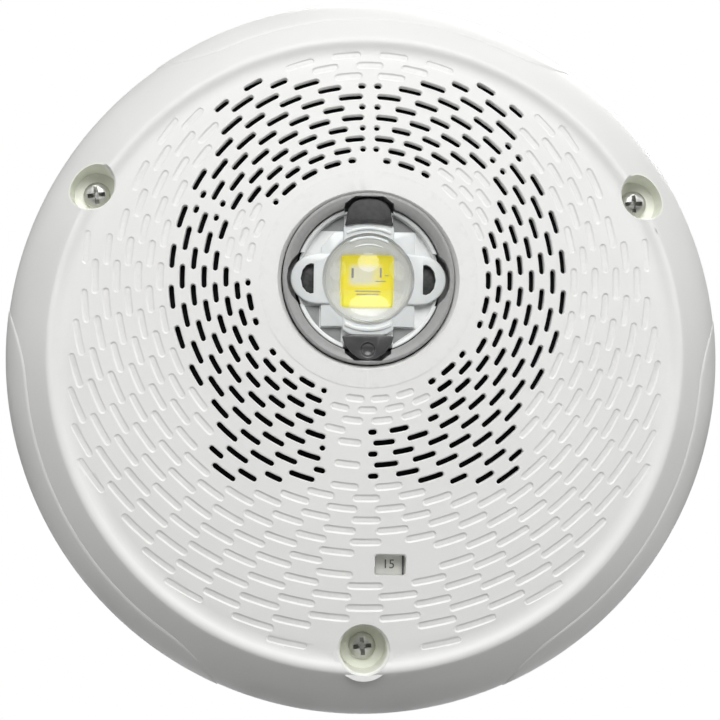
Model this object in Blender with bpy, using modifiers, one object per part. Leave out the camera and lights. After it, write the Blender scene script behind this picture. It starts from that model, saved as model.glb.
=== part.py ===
"""Round speaker strobe: slotted cover, loudspeaker, LED strobe module, electronics and mounting plate.

The device hangs on a wall in the plane y = 0 and faces -Y, with +Z up. Everything is modelled in the
device's own axes (x right, y up, z out of the wall) under one empty that turns them to that position.
"""

import math

import bmesh
import bpy
from mathutils import Matrix, Vector

MM = 0.001
CLEAR = 0.3 * MM
HAIR = 0.01 * MM

# cover
COVER_RADIUS = 86.5 * MM
FACE_RADIUS = 74.8 * MM
LIP_WIDTH = 2.6 * MM
LIP_RISE = 1.0 * MM
VALLEY_WIDTH = 1.6 * MM
FACE_EDGE_HEIGHT = 17.2 * MM
DOME_RISE = 5.6 * MM
WALL = 2.2 * MM
COVER_BACK = 0.4 * MM

# slots, on rings about the strobe axis
STROBE_OFFSET = 17.0 * MM
RING_PITCH = 2.54 * MM
FIRST_RING = 11
LAST_RING = 25
SLOTS_PER_RING = 30
SLOT_WIDTH = 1.2 * MM
EVEN_SPAN = math.radians(5.47)
ODD_SPAN = math.radians(5.95)
OPEN_RADIUS = 47.0 * MM
OPEN_HALF_WIDTH = 36.2 * MM
OPEN_HALF_HEIGHT = 47.0 * MM
RIB_HALF_WIDTH = 0.95 * MM
RIB_ANGLES = (42.0, 90.0, 156.0)
BLIND_DISCS = ((-24.0, 8.0, 9.3), (21.0, 18.0, 9.2))
BLIND_BOXES = ((-9.5, 14.0, -34.0, -20.0), (-9.5, 0.2, -47.0, -34.0))
SHORTEST_SLOT = 1.9 * MM

# screw wells and window
UPPER_WELL_X = 64.6 * MM
UPPER_WELL_Y = 37.3 * MM
LOWER_WELL_Y = -69.2 * MM
WELL_RADIUS = 5.6 * MM
WELL_WALL = 1.5 * MM
WELL_SEAT = 6.2 * MM
WELL_FLOOR = 1.7 * MM
SCREW_RADIUS = 1.75 * MM
SCREW_HEAD_RADIUS = 3.2 * MM
SCREW_HEAD_HEIGHT = 2.2 * MM
CROSS_TURN = math.radians(12)
WINDOW_X = 5.8 * MM
WINDOW_Y = -49.3 * MM
WINDOW_WIDTH = 7.1 * MM
WINDOW_HEIGHT = 4.6 * MM

# mounting plate
PLATE_RADIUS = 81.0 * MM
PLATE_THICK = 3.0 * MM
PLATE_HOLE_RADIUS = 43.0 * MM
BOX_SCREW_SPACING = 82.6 * MM
BOX_SLOT_WIDTH = 6.4 * MM
BOX_SLOT_LENGTH = 10.4 * MM
SERVICE_HALF_WIDTH = 31.0 * MM
SERVICE_TOP = -30.0 * MM
SERVICE_BOTTOM = -64.0 * MM

# strobe module
BEZEL_RADIUS = 19.95 * MM
BEZEL_INNER = 17.4 * MM
BEZEL_PROUD = 0.9 * MM
MODULE_DEPTH = 9.0 * MM
LENS_DOME_RADIUS = 10.8 * MM
LENS_DOME_HEIGHT = 4.6 * MM
LENS_BASE = 22.3 * MM
LENS_FLANGE = 1.2 * MM
LENS_EAR_REACH = 16.6 * MM
LENS_EAR_WIDTH = 11.7 * MM
EAR_HOLE_WIDTH = 3.4 * MM
EAR_HOLE_LENGTH = 7.0 * MM
LENS_LOBE_REACH = 13.4 * MM
LENS_LOBE_WIDTH = 11.9 * MM
CLIP_WIDTH = 10.8 * MM
CLIP_REACH = 16.6 * MM
CLIP_THICK = 1.6 * MM
BOARD_THICK = 1.6 * MM
LED_SIZE = 9.6 * MM
LED_THICK = 1.1 * MM
MODULE_SCREW_RADIUS = BEZEL_RADIUS + 5.55 * MM
MODULE_EAR_RADIUS = 3.8 * MM
NECK_WIDTH = 6.0 * MM
CARRIER_THICK = 1.8 * MM

# loudspeaker
SPEAKER_RADIUS = 51.0 * MM
SPEAKER_FACE = 12.6 * MM
BASKET_SHEET = 0.9 * MM
BASKET_DEPTH = 22.0 * MM
BASKET_BACK_RADIUS = 27.0 * MM
CONE_DEPTH = 13.0 * MM
CONE_SHEET = 0.8 * MM
COIL_RADIUS = 9.6 * MM
COIL_WALL = 0.8 * MM
SURROUND_OUTER = SPEAKER_RADIUS - 5.0 * MM
CONE_RADIUS = SURROUND_OUTER - 6.5 * MM
MAGNET_RADIUS = 24.0 * MM
MAGNET_THICK = 9.0 * MM
TOP_PLATE_THICK = 3.0 * MM
YOKE_THICK = 3.4 * MM
MAGNET_HOLE = 12.5 * MM
CONE_TRAVEL = 1.2 * MM
SPEAKER_SCREW_CIRCLE = SPEAKER_RADIUS - 2.4 * MM

# electronics
BOARD_FACE = 7.6 * MM
BOARD_TOP = -37.5 * MM
BOARD_RADIUS = 73.0 * MM
STRIP_CELL = 6.5 * MM
STRIP_CELLS = 7
STRIP_HEIGHT = 7.0 * MM
STRIP_THICK = 0.6 * MM
STRIP_GAP_TO_COVER = 0.9 * MM
SWITCH_BODY_WIDTH = 58.0 * MM
SWITCH_BODY_HEIGHT = 6.4 * MM
KNOB_RADIUS = 5.2 * MM
KNOB_X = -22.0 * MM
KNOB_Y = -56.8 * MM
KNOB_THICK = 3.0 * MM
SLIDER_X = 21.0 * MM
SLIDER_Y = -41.5 * MM
VOLTAGE_TRAVEL = 4.0 * MM

RING_STEPS = 36
FINE_STEPS = 24
SMALL_STEPS = 14

parts = None
guides = None
device = None


def clear_scene():
    for item in list(bpy.data.objects):
        bpy.data.objects.remove(item)


def make_material(name, colour, roughness, metallic=0.0, transmission=0.0):
    material = bpy.data.materials.get(name) or bpy.data.materials.new(name)
    material.use_nodes = True
    shader = material.node_tree.nodes["Principled BSDF"]
    shader.inputs["Base Color"].default_value = (*colour, 1.0)
    shader.inputs["Roughness"].default_value = roughness
    shader.inputs["Metallic"].default_value = metallic
    shader.inputs["Transmission Weight"].default_value = transmission
    return material


def white_plastic():
    return make_material("white_plastic", (0.86, 0.86, 0.84), 0.45)


def black_plastic():
    return make_material("black_plastic", (0.02, 0.02, 0.022), 0.5)


def grey_plastic():
    return make_material("grey_plastic", (0.32, 0.32, 0.33), 0.45)


def clear_plastic():
    return make_material("clear_plastic", (0.95, 0.96, 0.97), 0.04, 0.0, 1.0)


def zinc_steel():
    return make_material("zinc_steel", (0.62, 0.62, 0.60), 0.35, 1.0)


def black_steel():
    return make_material("black_steel", (0.05, 0.05, 0.055), 0.45, 0.8)


def paper_black():
    return make_material("paper_black", (0.03, 0.03, 0.03), 0.9)


def green_board():
    return make_material("green_board", (0.03, 0.16, 0.07), 0.4)


def place(item, material, collection=None):
    """Files an object under the device empty with its material and smooth round sides."""
    for owner in list(item.users_collection):
        owner.objects.unlink(item)
    (collection or parts).objects.link(item)
    item.parent = device
    item.data.materials.clear()
    item.data.materials.append(material)
    if item.type == "MESH":
        item.data.shade_smooth()
        item.data.set_sharp_from_angle(angle=math.radians(35))
    return item


def turned(name, profile, material, centre=(0.0, 0.0), steps=FINE_STEPS):
    """A solid of revolution about z. The (radius, height) profile runs down its outer side."""
    mesh = bpy.data.meshes.new(name)
    shape = bmesh.new()
    points = [shape.verts.new((radius, 0.0, height)) for radius, height in profile]
    for first, second in zip(points, points[1:]):
        shape.edges.new((first, second))
    if profile[0][0] > 0 and profile[-1][0] > 0:
        shape.edges.new((points[-1], points[0]))
    shape.to_mesh(mesh)
    shape.free()
    item = bpy.data.objects.new(name, mesh)
    item.location = (centre[0], centre[1], 0.0)
    spin = item.modifiers.new("Turn", "SCREW")
    spin.steps = steps
    spin.render_steps = steps
    spin.use_merge_vertices = True
    spin.merge_threshold = 0.00001
    return place(item, material)


def box(name, low, high, material):
    """A block between two corners in the device's axes."""
    bpy.ops.mesh.primitive_cube_add(size=1.0)
    item = bpy.context.active_object
    item.name = name
    size = Vector(high) - Vector(low)
    item.data.transform(Matrix.Diagonal((*size, 1.0)))
    item.location = (Vector(low) + Vector(high)) / 2
    return place(item, material)


def disc(name, radius, low, high, material, centre=(0.0, 0.0), steps=FINE_STEPS):
    """A cylinder along z between two heights."""
    bpy.ops.mesh.primitive_cylinder_add(vertices=steps, radius=radius, depth=high - low)
    item = bpy.context.active_object
    item.name = name
    item.location = (centre[0], centre[1], (low + high) / 2)
    return place(item, material)


def outline(name, loops, low, high, material):
    """A flat plate from closed outlines of (x, y) points; later outlines are its holes."""
    curve = bpy.data.curves.new(name, "CURVE")
    curve.dimensions = "2D"
    curve.fill_mode = "BOTH"
    curve.extrude = (high - low) / 2
    for loop in loops:
        spline = curve.splines.new("POLY")
        spline.points.add(len(loop) - 1)
        for point, (x, y) in zip(spline.points, loop):
            point.co = (x, y, 0.0, 1.0)
        spline.use_cyclic_u = True
    item = bpy.data.objects.new(name, curve)
    bpy.context.scene.collection.objects.link(item)
    bpy.context.view_layer.update()
    flat = item.evaluated_get(bpy.context.evaluated_depsgraph_get())
    mesh = bpy.data.meshes.new_from_object(flat)
    shape = bmesh.new()
    shape.from_mesh(mesh)
    bmesh.ops.remove_doubles(shape, verts=shape.verts, dist=0.000001)
    bmesh.ops.recalc_face_normals(shape, faces=shape.faces)
    shape.to_mesh(mesh)
    shape.free()
    bpy.data.objects.remove(item)
    solid = bpy.data.objects.new(name, mesh)
    solid.location = (0.0, 0.0, (low + high) / 2)
    return place(solid, material)


def circle_points(radius, steps, centre=(0.0, 0.0), start=0.0, stop=2 * math.pi):
    """Points of a full circle, or of an arc with both of its ends."""
    whole = abs(stop - start - 2 * math.pi) < 1e-9
    count = steps if whole else steps + 1
    points = []
    for i in range(count):
        angle = start + (stop - start) * i / steps
        points.append((centre[0] + radius * math.cos(angle), centre[1] + radius * math.sin(angle)))
    return points


def as_guide(item):
    """Turns an object into a hidden cutter or joining shape."""
    for owner in list(item.users_collection):
        owner.objects.unlink(item)
    guides.objects.link(item)
    item.hide_render = True
    item.display_type = "WIRE"
    return item


def combine(item, other, operation="DIFFERENCE", solver="EXACT"):
    as_guide(other)
    step = item.modifiers.new(operation.title(), "BOOLEAN")
    step.operation = operation
    step.solver = solver
    step.object = other
    return item


def strobe_centre():
    return (0.0, STROBE_OFFSET)


def dome_height(x, y):
    """Height of the cover's outer face above the wall."""
    edge = FACE_RADIUS - LIP_WIDTH - VALLEY_WIDTH
    share = (x * x + y * y) / (edge * edge)
    return FACE_EDGE_HEIGHT + DOME_RISE * (1.0 - share)


def dome_radii():
    edge = FACE_RADIUS - LIP_WIDTH - VALLEY_WIDTH
    return [edge * share for share in (0.0, 0.6, 1.0)]


def wells():
    return [(-UPPER_WELL_X, UPPER_WELL_Y), (UPPER_WELL_X, UPPER_WELL_Y), (0.0, LOWER_WELL_Y)]


def skirt_points():
    """The sloped outer wall of the cover, from under the lip to the wall line."""
    drop = FACE_EDGE_HEIGHT - COVER_BACK
    reach = COVER_RADIUS - FACE_RADIUS
    points = []
    for share in (0.0, 0.3, 0.6, 0.85, 1.0):
        bulge = math.sin(share * math.pi / 2)
        radius = FACE_RADIUS + reach * (0.35 * share + 0.65 * bulge)
        points.append((radius, FACE_EDGE_HEIGHT - drop * share))
    return points


def slot_span(ring):
    return EVEN_SPAN if ring % 2 == 0 else ODD_SPAN


def blocked(x, y):
    """True where a rib, disc or block behind the cover closes the slots (strobe axes)."""
    for angle in RIB_ANGLES:
        direction = Vector((math.cos(math.radians(angle)), math.sin(math.radians(angle))))
        along = x * direction.x + y * direction.y
        across = abs(x * direction.y - y * direction.x)
        if along > 0 and across < RIB_HALF_WIDTH:
            return True
    for centre_x, centre_y, radius in BLIND_DISCS:
        if math.hypot(x - centre_x * MM, y - centre_y * MM) < radius * MM:
            return True
    for angle in (90.0, 210.0, 330.0):
        ear_x = MODULE_SCREW_RADIUS * math.cos(math.radians(angle))
        ear_y = MODULE_SCREW_RADIUS * math.sin(math.radians(angle))
        if math.hypot(x - ear_x, y - ear_y) < MODULE_EAR_RADIUS:
            return True
    for left, right, bottom, top in BLIND_BOXES:
        if left * MM < x < right * MM and bottom * MM < y < top * MM:
            return True
    return False


def slot_is_open(x, y):
    in_circle = math.hypot(x, y) < OPEN_RADIUS
    in_box = abs(x) < OPEN_HALF_WIDTH and abs(y) < OPEN_HALF_HEIGHT
    return (in_circle or in_box) and not blocked(x, y)


def open_stretches(radius, middle, half_length):
    """The open parts of one slot, as (start, end) along its length from its middle."""
    samples = 24
    stretches = []
    start = None
    for i in range(samples + 1):
        along = -half_length + 2 * half_length * i / samples
        angle = middle + along / radius
        is_open = slot_is_open(radius * math.cos(angle), radius * math.sin(angle))
        if is_open and start is None:
            start = along
        if start is not None and (not is_open or i == samples):
            if along - start > SHORTEST_SLOT:
                stretches.append((start, along))
            start = None
    return stretches


def slot_blocks():
    """One mesh of blocks, a block for each open stretch of a slot."""
    shape = bmesh.new()
    pitch = 2 * math.pi / SLOTS_PER_RING
    for ring in range(FIRST_RING, LAST_RING + 1):
        radius = ring * RING_PITCH
        half_length = radius * slot_span(ring) / 2 + SLOT_WIDTH / 2
        shift = pitch / 2 if ring % 2 == 0 else 0.0
        for number in range(SLOTS_PER_RING):
            middle = number * pitch + shift
            for start, end in open_stretches(radius, middle, half_length):
                angle = middle + (start + end) / 2 / radius
                x = radius * math.cos(angle)
                y = radius * math.sin(angle) + STROBE_OFFSET
                turn = Matrix.Rotation(angle, 4, "Z")
                spot = Matrix.Translation((x, y, dome_height(x, y) - WALL / 2))
                size = Matrix.Diagonal((SLOT_WIDTH, end - start, 2 * WALL, 1.0))
                bmesh.ops.create_cube(shape, size=1.0, matrix=spot @ turn @ size)
    mesh = bpy.data.meshes.new("slot_blocks")
    shape.to_mesh(mesh)
    shape.free()
    item = bpy.data.objects.new("slot_blocks", mesh)
    guides.objects.link(item)
    item.parent = device
    return item


def cover_profile():
    """Outer face, lip and skirt, then back up the inside of the same wall."""
    crest = FACE_RADIUS - LIP_WIDTH / 2
    outer = [(radius, dome_height(radius, 0.0)) for radius in dome_radii()]
    outer.append((FACE_RADIUS - LIP_WIDTH, FACE_EDGE_HEIGHT - 0.2 * LIP_RISE))
    outer.append((crest, FACE_EDGE_HEIGHT + LIP_RISE))
    outer += skirt_points()
    inner = [(radius - WALL, height) for radius, height in skirt_points()[::-1][:-1]]
    inner.append((FACE_RADIUS - WALL, FACE_EDGE_HEIGHT - WALL))
    inner += [(radius, dome_height(radius, 0.0) - WALL) for radius in dome_radii()[::-1]]
    return outer + inner


def make_cover():
    cover = turned("front_cover", cover_profile(), white_plastic(), steps=RING_STEPS)
    for number, well in enumerate(wells()):
        top = dome_height(FACE_RADIUS, 0.0) - WALL / 2
        tube = disc(
            f"well_{number}",
            WELL_RADIUS + WELL_WALL,
            WELL_SEAT - WELL_FLOOR,
            top,
            white_plastic(),
            well,
            SMALL_STEPS,
        )
        combine(cover, tube, "UNION")
    for number, well in enumerate(wells()):
        top = FACE_EDGE_HEIGHT + DOME_RISE
        bore = disc(
            f"well_bore_{number}", WELL_RADIUS, WELL_SEAT, top, white_plastic(), well, SMALL_STEPS
        )
        combine(cover, bore)
        hole_radius = SCREW_RADIUS + CLEAR
        hole = disc(
            f"well_hole_{number}", hole_radius, 0.0, WELL_SEAT + WALL, white_plastic(), well, SMALL_STEPS
        )
        combine(cover, hole)
    top = FACE_EDGE_HEIGHT + 2 * DOME_RISE
    mouth = disc(
        "strobe_mouth", BEZEL_RADIUS + CLEAR, WALL, top, white_plastic(), strobe_centre(), FINE_STEPS
    )
    combine(cover, mouth)
    half = Vector((WINDOW_WIDTH / 2, WINDOW_HEIGHT / 2))
    middle = Vector((WINDOW_X, WINDOW_Y))
    window = box("window", (*(middle - half), WALL), (*(middle + half), top), white_plastic())
    combine(cover, window)
    combine(cover, slot_blocks())
    return cover


def make_cover_screws():
    names = ("cover_screw_left", "cover_screw_right", "cover_screw_bottom")
    for name, well in zip(names, wells()):
        head = SCREW_HEAD_RADIUS
        top = WELL_SEAT + CLEAR + SCREW_HEAD_HEIGHT
        profile = [
            (0.0, top),
            (head * 0.55, top - 0.1 * SCREW_HEAD_HEIGHT),
            (head, top - 0.55 * SCREW_HEAD_HEIGHT),
            (head, WELL_SEAT + CLEAR),
            (SCREW_RADIUS, WELL_SEAT + CLEAR),
            (SCREW_RADIUS, 0.5 * MM),
            (0.0, 0.5 * MM),
        ]
        screw = turned(name, profile, zinc_steel(), well, SMALL_STEPS)
        cut_cross(screw, well, top, head)


def cut_cross(screw, centre, top, head_radius):
    """A cross recess in a screw head, as two crossed blocks joined into one cutter."""
    arm = 0.62 * head_radius
    thin = 0.13 * head_radius
    depth = 0.45 * head_radius
    loop = []
    for quarter in range(4):
        for x, y in ((arm, -thin), (arm, thin), (thin, thin)):
            angle = quarter * math.pi / 2 + CROSS_TURN
            turned_x = x * math.cos(angle) - y * math.sin(angle)
            turned_y = x * math.sin(angle) + y * math.cos(angle)
            loop.append((centre[0] + turned_x, centre[1] + turned_y))
    cross = outline(screw.name + "_cross", [loop], top - depth, top + depth, zinc_steel())
    combine(screw, cross)


def make_mounting_plate():
    edge = circle_points(PLATE_RADIUS, RING_STEPS)
    opening = circle_points(PLATE_HOLE_RADIUS, FINE_STEPS, strobe_centre())
    service = [
        (-SERVICE_HALF_WIDTH, SERVICE_BOTTOM),
        (SERVICE_HALF_WIDTH, SERVICE_BOTTOM),
        (SERVICE_HALF_WIDTH, SERVICE_TOP),
        (-SERVICE_HALF_WIDTH, SERVICE_TOP),
    ]
    loops = [edge, opening, service]
    for side in (-1, 1):
        for level in (-1, 1):
            spot = (side * BOX_SCREW_SPACING / 2, level * BOX_SCREW_SPACING / 2)
            loops.append(rounded_slot(spot, math.atan2(spot[1], spot[0])))
    for well in wells():
        loops.append(circle_points(SCREW_RADIUS + CLEAR, SMALL_STEPS, well))
    return outline("mounting_plate", loops, 0.0, PLATE_THICK, white_plastic())


def rounded_slot(centre, angle):
    """Outline of a slot with round ends, turned so that its length points across the radius."""
    radius = BOX_SLOT_WIDTH / 2
    half = (BOX_SLOT_LENGTH - BOX_SLOT_WIDTH) / 2
    direction = angle + math.pi / 2
    points = []
    for side in (1, -1):
        base = direction if side == 1 else direction + math.pi
        end = (centre[0] + half * math.cos(base), centre[1] + half * math.sin(base))
        points += circle_points(radius, 6, end, base - math.pi / 2, base + math.pi / 2)
    return points


def module_front():
    """Height of the cover's face at the edge of the strobe opening, its lowest side."""
    return dome_height(0.0, STROBE_OFFSET + BEZEL_RADIUS)


def tray_floor():
    return module_front() - MODULE_DEPTH


def lens_seat():
    return module_front() - 1.4 * MM


def make_bezel():
    top = module_front() + BEZEL_PROUD + 0.6 * MM
    flange_top = lens_seat()
    profile = [
        (BEZEL_RADIUS - 0.9 * MM, top),
        (BEZEL_RADIUS, top - 0.8 * MM),
        (BEZEL_RADIUS, tray_floor()),
        (BEZEL_INNER - 0.5 * MM, tray_floor()),
        (BEZEL_INNER - 0.5 * MM, flange_top - LENS_FLANGE - CLEAR),
        (BEZEL_INNER, flange_top - LENS_FLANGE - CLEAR),
        (BEZEL_INNER, top - 0.8 * MM),
    ]
    turned("bezel_ring", profile, grey_plastic(), strobe_centre())


def lens_outline():
    """Square base with round ears left and right and lobes above and below."""
    half = LENS_BASE / 2
    ear = LENS_EAR_WIDTH / 2
    lobe = LENS_LOBE_WIDTH / 2
    points = []
    for x_side, y_side in ((1, 1), (-1, 1), (-1, -1), (1, -1)):
        corner = [
            (x_side * (LENS_EAR_REACH - 1.5 * MM), y_side * ear),
            (x_side * (half - 1.0 * MM), y_side * ear),
            (x_side * (half - 1.0 * MM), y_side * (half - 1.0 * MM)),
            (x_side * lobe, y_side * (half - 1.0 * MM)),
            (x_side * (lobe - 1.5 * MM), y_side * LENS_LOBE_REACH),
        ]
        tip = [(x_side * LENS_EAR_REACH, y_side * (ear - 2.5 * MM))]
        points += tip + corner if x_side * y_side > 0 else (tip + corner)[::-1]
    return [(x, y + STROBE_OFFSET) for x, y in points]


def make_lens():
    seat = lens_seat()
    holes = []
    for side in (-1, 1):
        inner = side * (LENS_EAR_REACH - 1.6 * MM - EAR_HOLE_WIDTH)
        outer = side * (LENS_EAR_REACH - 1.6 * MM)
        half = EAR_HOLE_LENGTH / 2
        cut = half * 0.6
        loop = [(inner, -half), (outer, -cut), (outer, cut), (inner, half)]
        holes.append([(x, y + STROBE_OFFSET) for x, y in loop])
    lens = outline("strobe_lens", [lens_outline(), *holes], seat - LENS_FLANGE, seat, clear_plastic())
    dome = [(0.0, seat + LENS_DOME_HEIGHT)]
    for share in (0.35, 0.65, 0.88, 1.0):
        drop = 1.0 - math.sqrt(1.0 - share * share * 0.98)
        dome.append((LENS_DOME_RADIUS * share, seat + LENS_DOME_HEIGHT * (1 - 0.85 * drop)))
    dome.append((LENS_DOME_RADIUS, seat - LENS_FLANGE / 2))
    dome.append((0.0, seat - LENS_FLANGE / 2))
    top = turned("lens_dome", dome, clear_plastic(), strobe_centre(), 20)
    combine(lens, top, "UNION", "MANIFOLD")


def make_strobe_module():
    make_bezel()
    make_lens()
    floor = tray_floor()
    rim = lens_seat() - LENS_FLANGE - CLEAR
    outer = BEZEL_INNER - 0.5 * MM - CLEAR
    tray = [
        (outer, rim - 0.6 * MM),
        (outer, floor + CLEAR + BOARD_THICK),
        (LED_SIZE * 0.9, floor + CLEAR + BOARD_THICK),
        (LED_SIZE * 0.9, floor + 2 * CLEAR + BOARD_THICK + LED_THICK),
        (outer - 1.0 * MM, rim - 0.6 * MM),
    ]
    turned("reflector", tray, grey_plastic(), strobe_centre(), 24)
    disc("led_board", outer, floor, floor + BOARD_THICK, green_board(), strobe_centre(), 24)
    led_low = floor + BOARD_THICK + CLEAR
    half = LED_SIZE / 2
    chip = make_material("led_yellow", (0.85, 0.80, 0.08), 0.35)
    low = (-half, STROBE_OFFSET - half, led_low)
    box("led_chip", low, (half, STROBE_OFFSET + half, led_low + LED_THICK), chip)
    clip_low = lens_seat() + CLEAR
    for name, side in (("lens_clip_top", 1), ("lens_clip_bottom", -1)):
        near = side * (LENS_LOBE_REACH - 1.8 * MM)
        far = side * CLIP_REACH
        half = CLIP_WIDTH / 2
        loop = [(-half, near), (half, near), (half - 2.0 * MM, far), (2.0 * MM - half, far)]
        loop = [(x, y + STROBE_OFFSET) for x, y in loop]
        outline(name, [loop], clip_low, clip_low + CLIP_THICK, black_plastic())
    make_module_carrier(floor)


def make_module_carrier(floor):
    """The black carrier that holds the strobe to the cover, with three screw ears, and its gasket."""
    inner_face = dome_height(0.0, STROBE_OFFSET + BEZEL_RADIUS + 12 * MM) - WALL
    high = floor - CLEAR
    low = high - CARRIER_THICK
    carrier = disc("module_carrier", BEZEL_RADIUS, low, high, black_plastic(), strobe_centre(), 24)
    for number, angle in enumerate((90.0, 210.0, 330.0)):
        turn = math.radians(angle)
        x = MODULE_SCREW_RADIUS * math.cos(turn)
        y = MODULE_SCREW_RADIUS * math.sin(turn) + STROBE_OFFSET
        ear = disc(
            f"ear_{number}", MODULE_EAR_RADIUS, low + HAIR, high - HAIR, black_plastic(), (x, y), SMALL_STEPS
        )
        combine(carrier, ear, "UNION")
        half = NECK_WIDTH / 2
        neck = box(
            f"neck_{number}",
            (0.0, -half, low + 2 * HAIR),
            (MODULE_SCREW_RADIUS, half, high - 2 * HAIR),
            black_plastic(),
        )
        neck.location = (
            MODULE_SCREW_RADIUS / 2 * math.cos(turn),
            MODULE_SCREW_RADIUS / 2 * math.sin(turn) + STROBE_OFFSET,
            (low + high) / 2,
        )
        neck.rotation_euler = (0.0, 0.0, turn)
        combine(carrier, neck, "UNION")
        hole = disc(
            f"ear_hole_{number}", 1.1 * MM + CLEAR, low - MM, high + MM, black_plastic(), (x, y), 10
        )
        combine(carrier, hole)
        screw = [
            (1.1 * MM, inner_face - CLEAR - 1.0 * MM),
            (1.1 * MM, low - CLEAR),
            (2.4 * MM, low - CLEAR),
            (2.2 * MM, low - CLEAR - 1.5 * MM),
            (0.0, low - CLEAR - 1.6 * MM),
        ]
        screw.insert(0, (0.0, inner_face - CLEAR - 1.0 * MM))
        turned(f"module_screw_{number + 1}", screw, zinc_steel(), (x, y), 12)
    gasket_high = module_front() - WALL - 0.5 * MM
    gasket = [
        (BEZEL_RADIUS + 2.6 * MM, gasket_high - 1.2 * MM),
        (BEZEL_RADIUS + 2.6 * MM, gasket_high - 2.4 * MM),
        (BEZEL_RADIUS + CLEAR, gasket_high - 2.4 * MM),
        (BEZEL_RADIUS + CLEAR, gasket_high - 1.2 * MM),
    ]
    rubber = make_material("rubber", (0.04, 0.04, 0.04), 0.8)
    turned("strobe_gasket", gasket, rubber, strobe_centre(), 24)


def make_dust_screen():
    """A thin black screen that follows the inside of the cover's face."""
    gap = 0.7 * MM
    thick = 0.5 * MM
    reach = 64.0 * MM
    radii = (0.0, reach * 0.6, reach)
    front = [(radius, dome_height(radius, 0.0) - WALL - gap) for radius in radii]
    back = [(radius, height - thick) for radius, height in front[::-1]]
    screen = turned("dust_screen", front + back, paper_black(), steps=RING_STEPS)
    hole_radius = BEZEL_RADIUS + 3.2 * MM
    hole = disc("screen_hole", hole_radius, 0.0, 40 * MM, paper_black(), strobe_centre(), 24)
    combine(screen, hole)
    for number, angle in enumerate((90.0, 210.0, 330.0)):
        turn = math.radians(angle)
        x = MODULE_SCREW_RADIUS * math.cos(turn)
        y = MODULE_SCREW_RADIUS * math.sin(turn) + STROBE_OFFSET
        notch = disc(f"screen_notch_{number}", 2.4 * MM, 0.0, 40 * MM, paper_black(), (x, y), 10)
        combine(screen, notch)
    left = -SPEAKER_RADIUS * 1.6
    below = box(
        "screen_cut", (left, left * 2, 0.0), (-left, BOARD_TOP - MM, 40 * MM), paper_black()
    )
    combine(screen, below)


def basket_floor():
    return SPEAKER_FACE - BASKET_DEPTH


def make_speaker():
    centre = strobe_centre()
    face = SPEAKER_FACE
    floor = basket_floor()
    sheet = BASKET_SHEET
    steel = black_steel()
    basket = [
        (SPEAKER_RADIUS, face),
        (SPEAKER_RADIUS, face - sheet),
        (SURROUND_OUTER - 2.5 * MM, face - sheet),
        (BASKET_BACK_RADIUS + 6 * MM, floor + 8 * MM),
        (BASKET_BACK_RADIUS, floor),
        (MAGNET_HOLE, floor),
        (MAGNET_HOLE, floor + sheet),
        (BASKET_BACK_RADIUS - sheet, floor + sheet),
        (BASKET_BACK_RADIUS + 6 * MM - sheet, floor + 8 * MM + sheet),
        (SURROUND_OUTER - 2.5 * MM - sheet, face),
    ]
    frame = turned("speaker_basket", basket, steel, centre)
    for number in range(4):
        angle = math.radians(45 + 90 * number)
        reach = BASKET_BACK_RADIUS + 4.5 * MM
        vent = disc(f"vent_{number}", 6.5 * MM, 0.0, 30 * MM, steel, steps=12)
        vent.location = (
            centre[0] + reach * math.cos(angle),
            centre[1] + reach * math.sin(angle),
            floor + 5.0 * MM,
        )
        vent.rotation_euler = (0.0, math.radians(62), angle)
        combine(frame, vent)
        spot_radius = SPEAKER_SCREW_CIRCLE
        spot = (centre[0] + spot_radius * math.cos(angle), centre[1] + spot_radius * math.sin(angle))
        hole = disc(f"flange_hole_{number}", 1.2 * MM + CLEAR, 0.0, 30 * MM, steel, spot, 10)
        combine(frame, hole)
        make_speaker_screw(number, spot)
    make_motor(floor, centre)
    make_moving_cone(centre)


def make_speaker_screw(number, spot):
    """A screw through the basket flange from the back into a boss of the cover."""
    low = SPEAKER_FACE - BASKET_SHEET - CLEAR
    top = SPEAKER_FACE + 1.0 * MM
    profile = [
        (0.0, top),
        (1.2 * MM, top),
        (1.2 * MM, low),
        (2.5 * MM, low),
        (2.3 * MM, low - 1.6 * MM),
        (0.0, low - 1.7 * MM),
    ]
    turned(f"speaker_screw_{number + 1}", profile, zinc_steel(), spot, 12)


def make_motor(floor, centre):
    steel = zinc_steel()
    plate_high = floor - CLEAR
    plate_low = plate_high - TOP_PLATE_THICK
    top_plate = [
        (MAGNET_RADIUS - 1.5 * MM, plate_high),
        (MAGNET_RADIUS - 1.5 * MM, plate_low),
        (COIL_RADIUS + 0.7 * MM, plate_low),
        (COIL_RADIUS + 0.7 * MM, plate_high),
    ]
    turned("top_plate", top_plate, steel, centre)
    magnet_high = plate_low - CLEAR
    magnet_low = magnet_high - MAGNET_THICK
    magnet = [
        (MAGNET_RADIUS, magnet_high),
        (MAGNET_RADIUS, magnet_low),
        (MAGNET_HOLE, magnet_low),
        (MAGNET_HOLE, magnet_high),
    ]
    ferrite = make_material("ferrite", (0.05, 0.05, 0.05), 0.6)
    turned("magnet_ring", magnet, ferrite, centre)
    yoke_high = magnet_low - CLEAR
    pole = COIL_RADIUS - COIL_WALL - 0.7 * MM
    yoke = [
        (0.0, plate_high - 0.5 * MM),
        (pole, plate_high - 0.5 * MM),
        (pole, yoke_high),
        (MAGNET_RADIUS - 1.5 * MM, yoke_high),
        (MAGNET_RADIUS - 1.5 * MM, yoke_high - YOKE_THICK + 0.5 * MM),
        (MAGNET_RADIUS - 2.0 * MM, yoke_high - YOKE_THICK),
        (0.0, yoke_high - YOKE_THICK),
    ]
    turned("pole_yoke", yoke, steel, centre)


def cone_tip():
    return SPEAKER_FACE - 1.6 * MM - CONE_DEPTH


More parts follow.
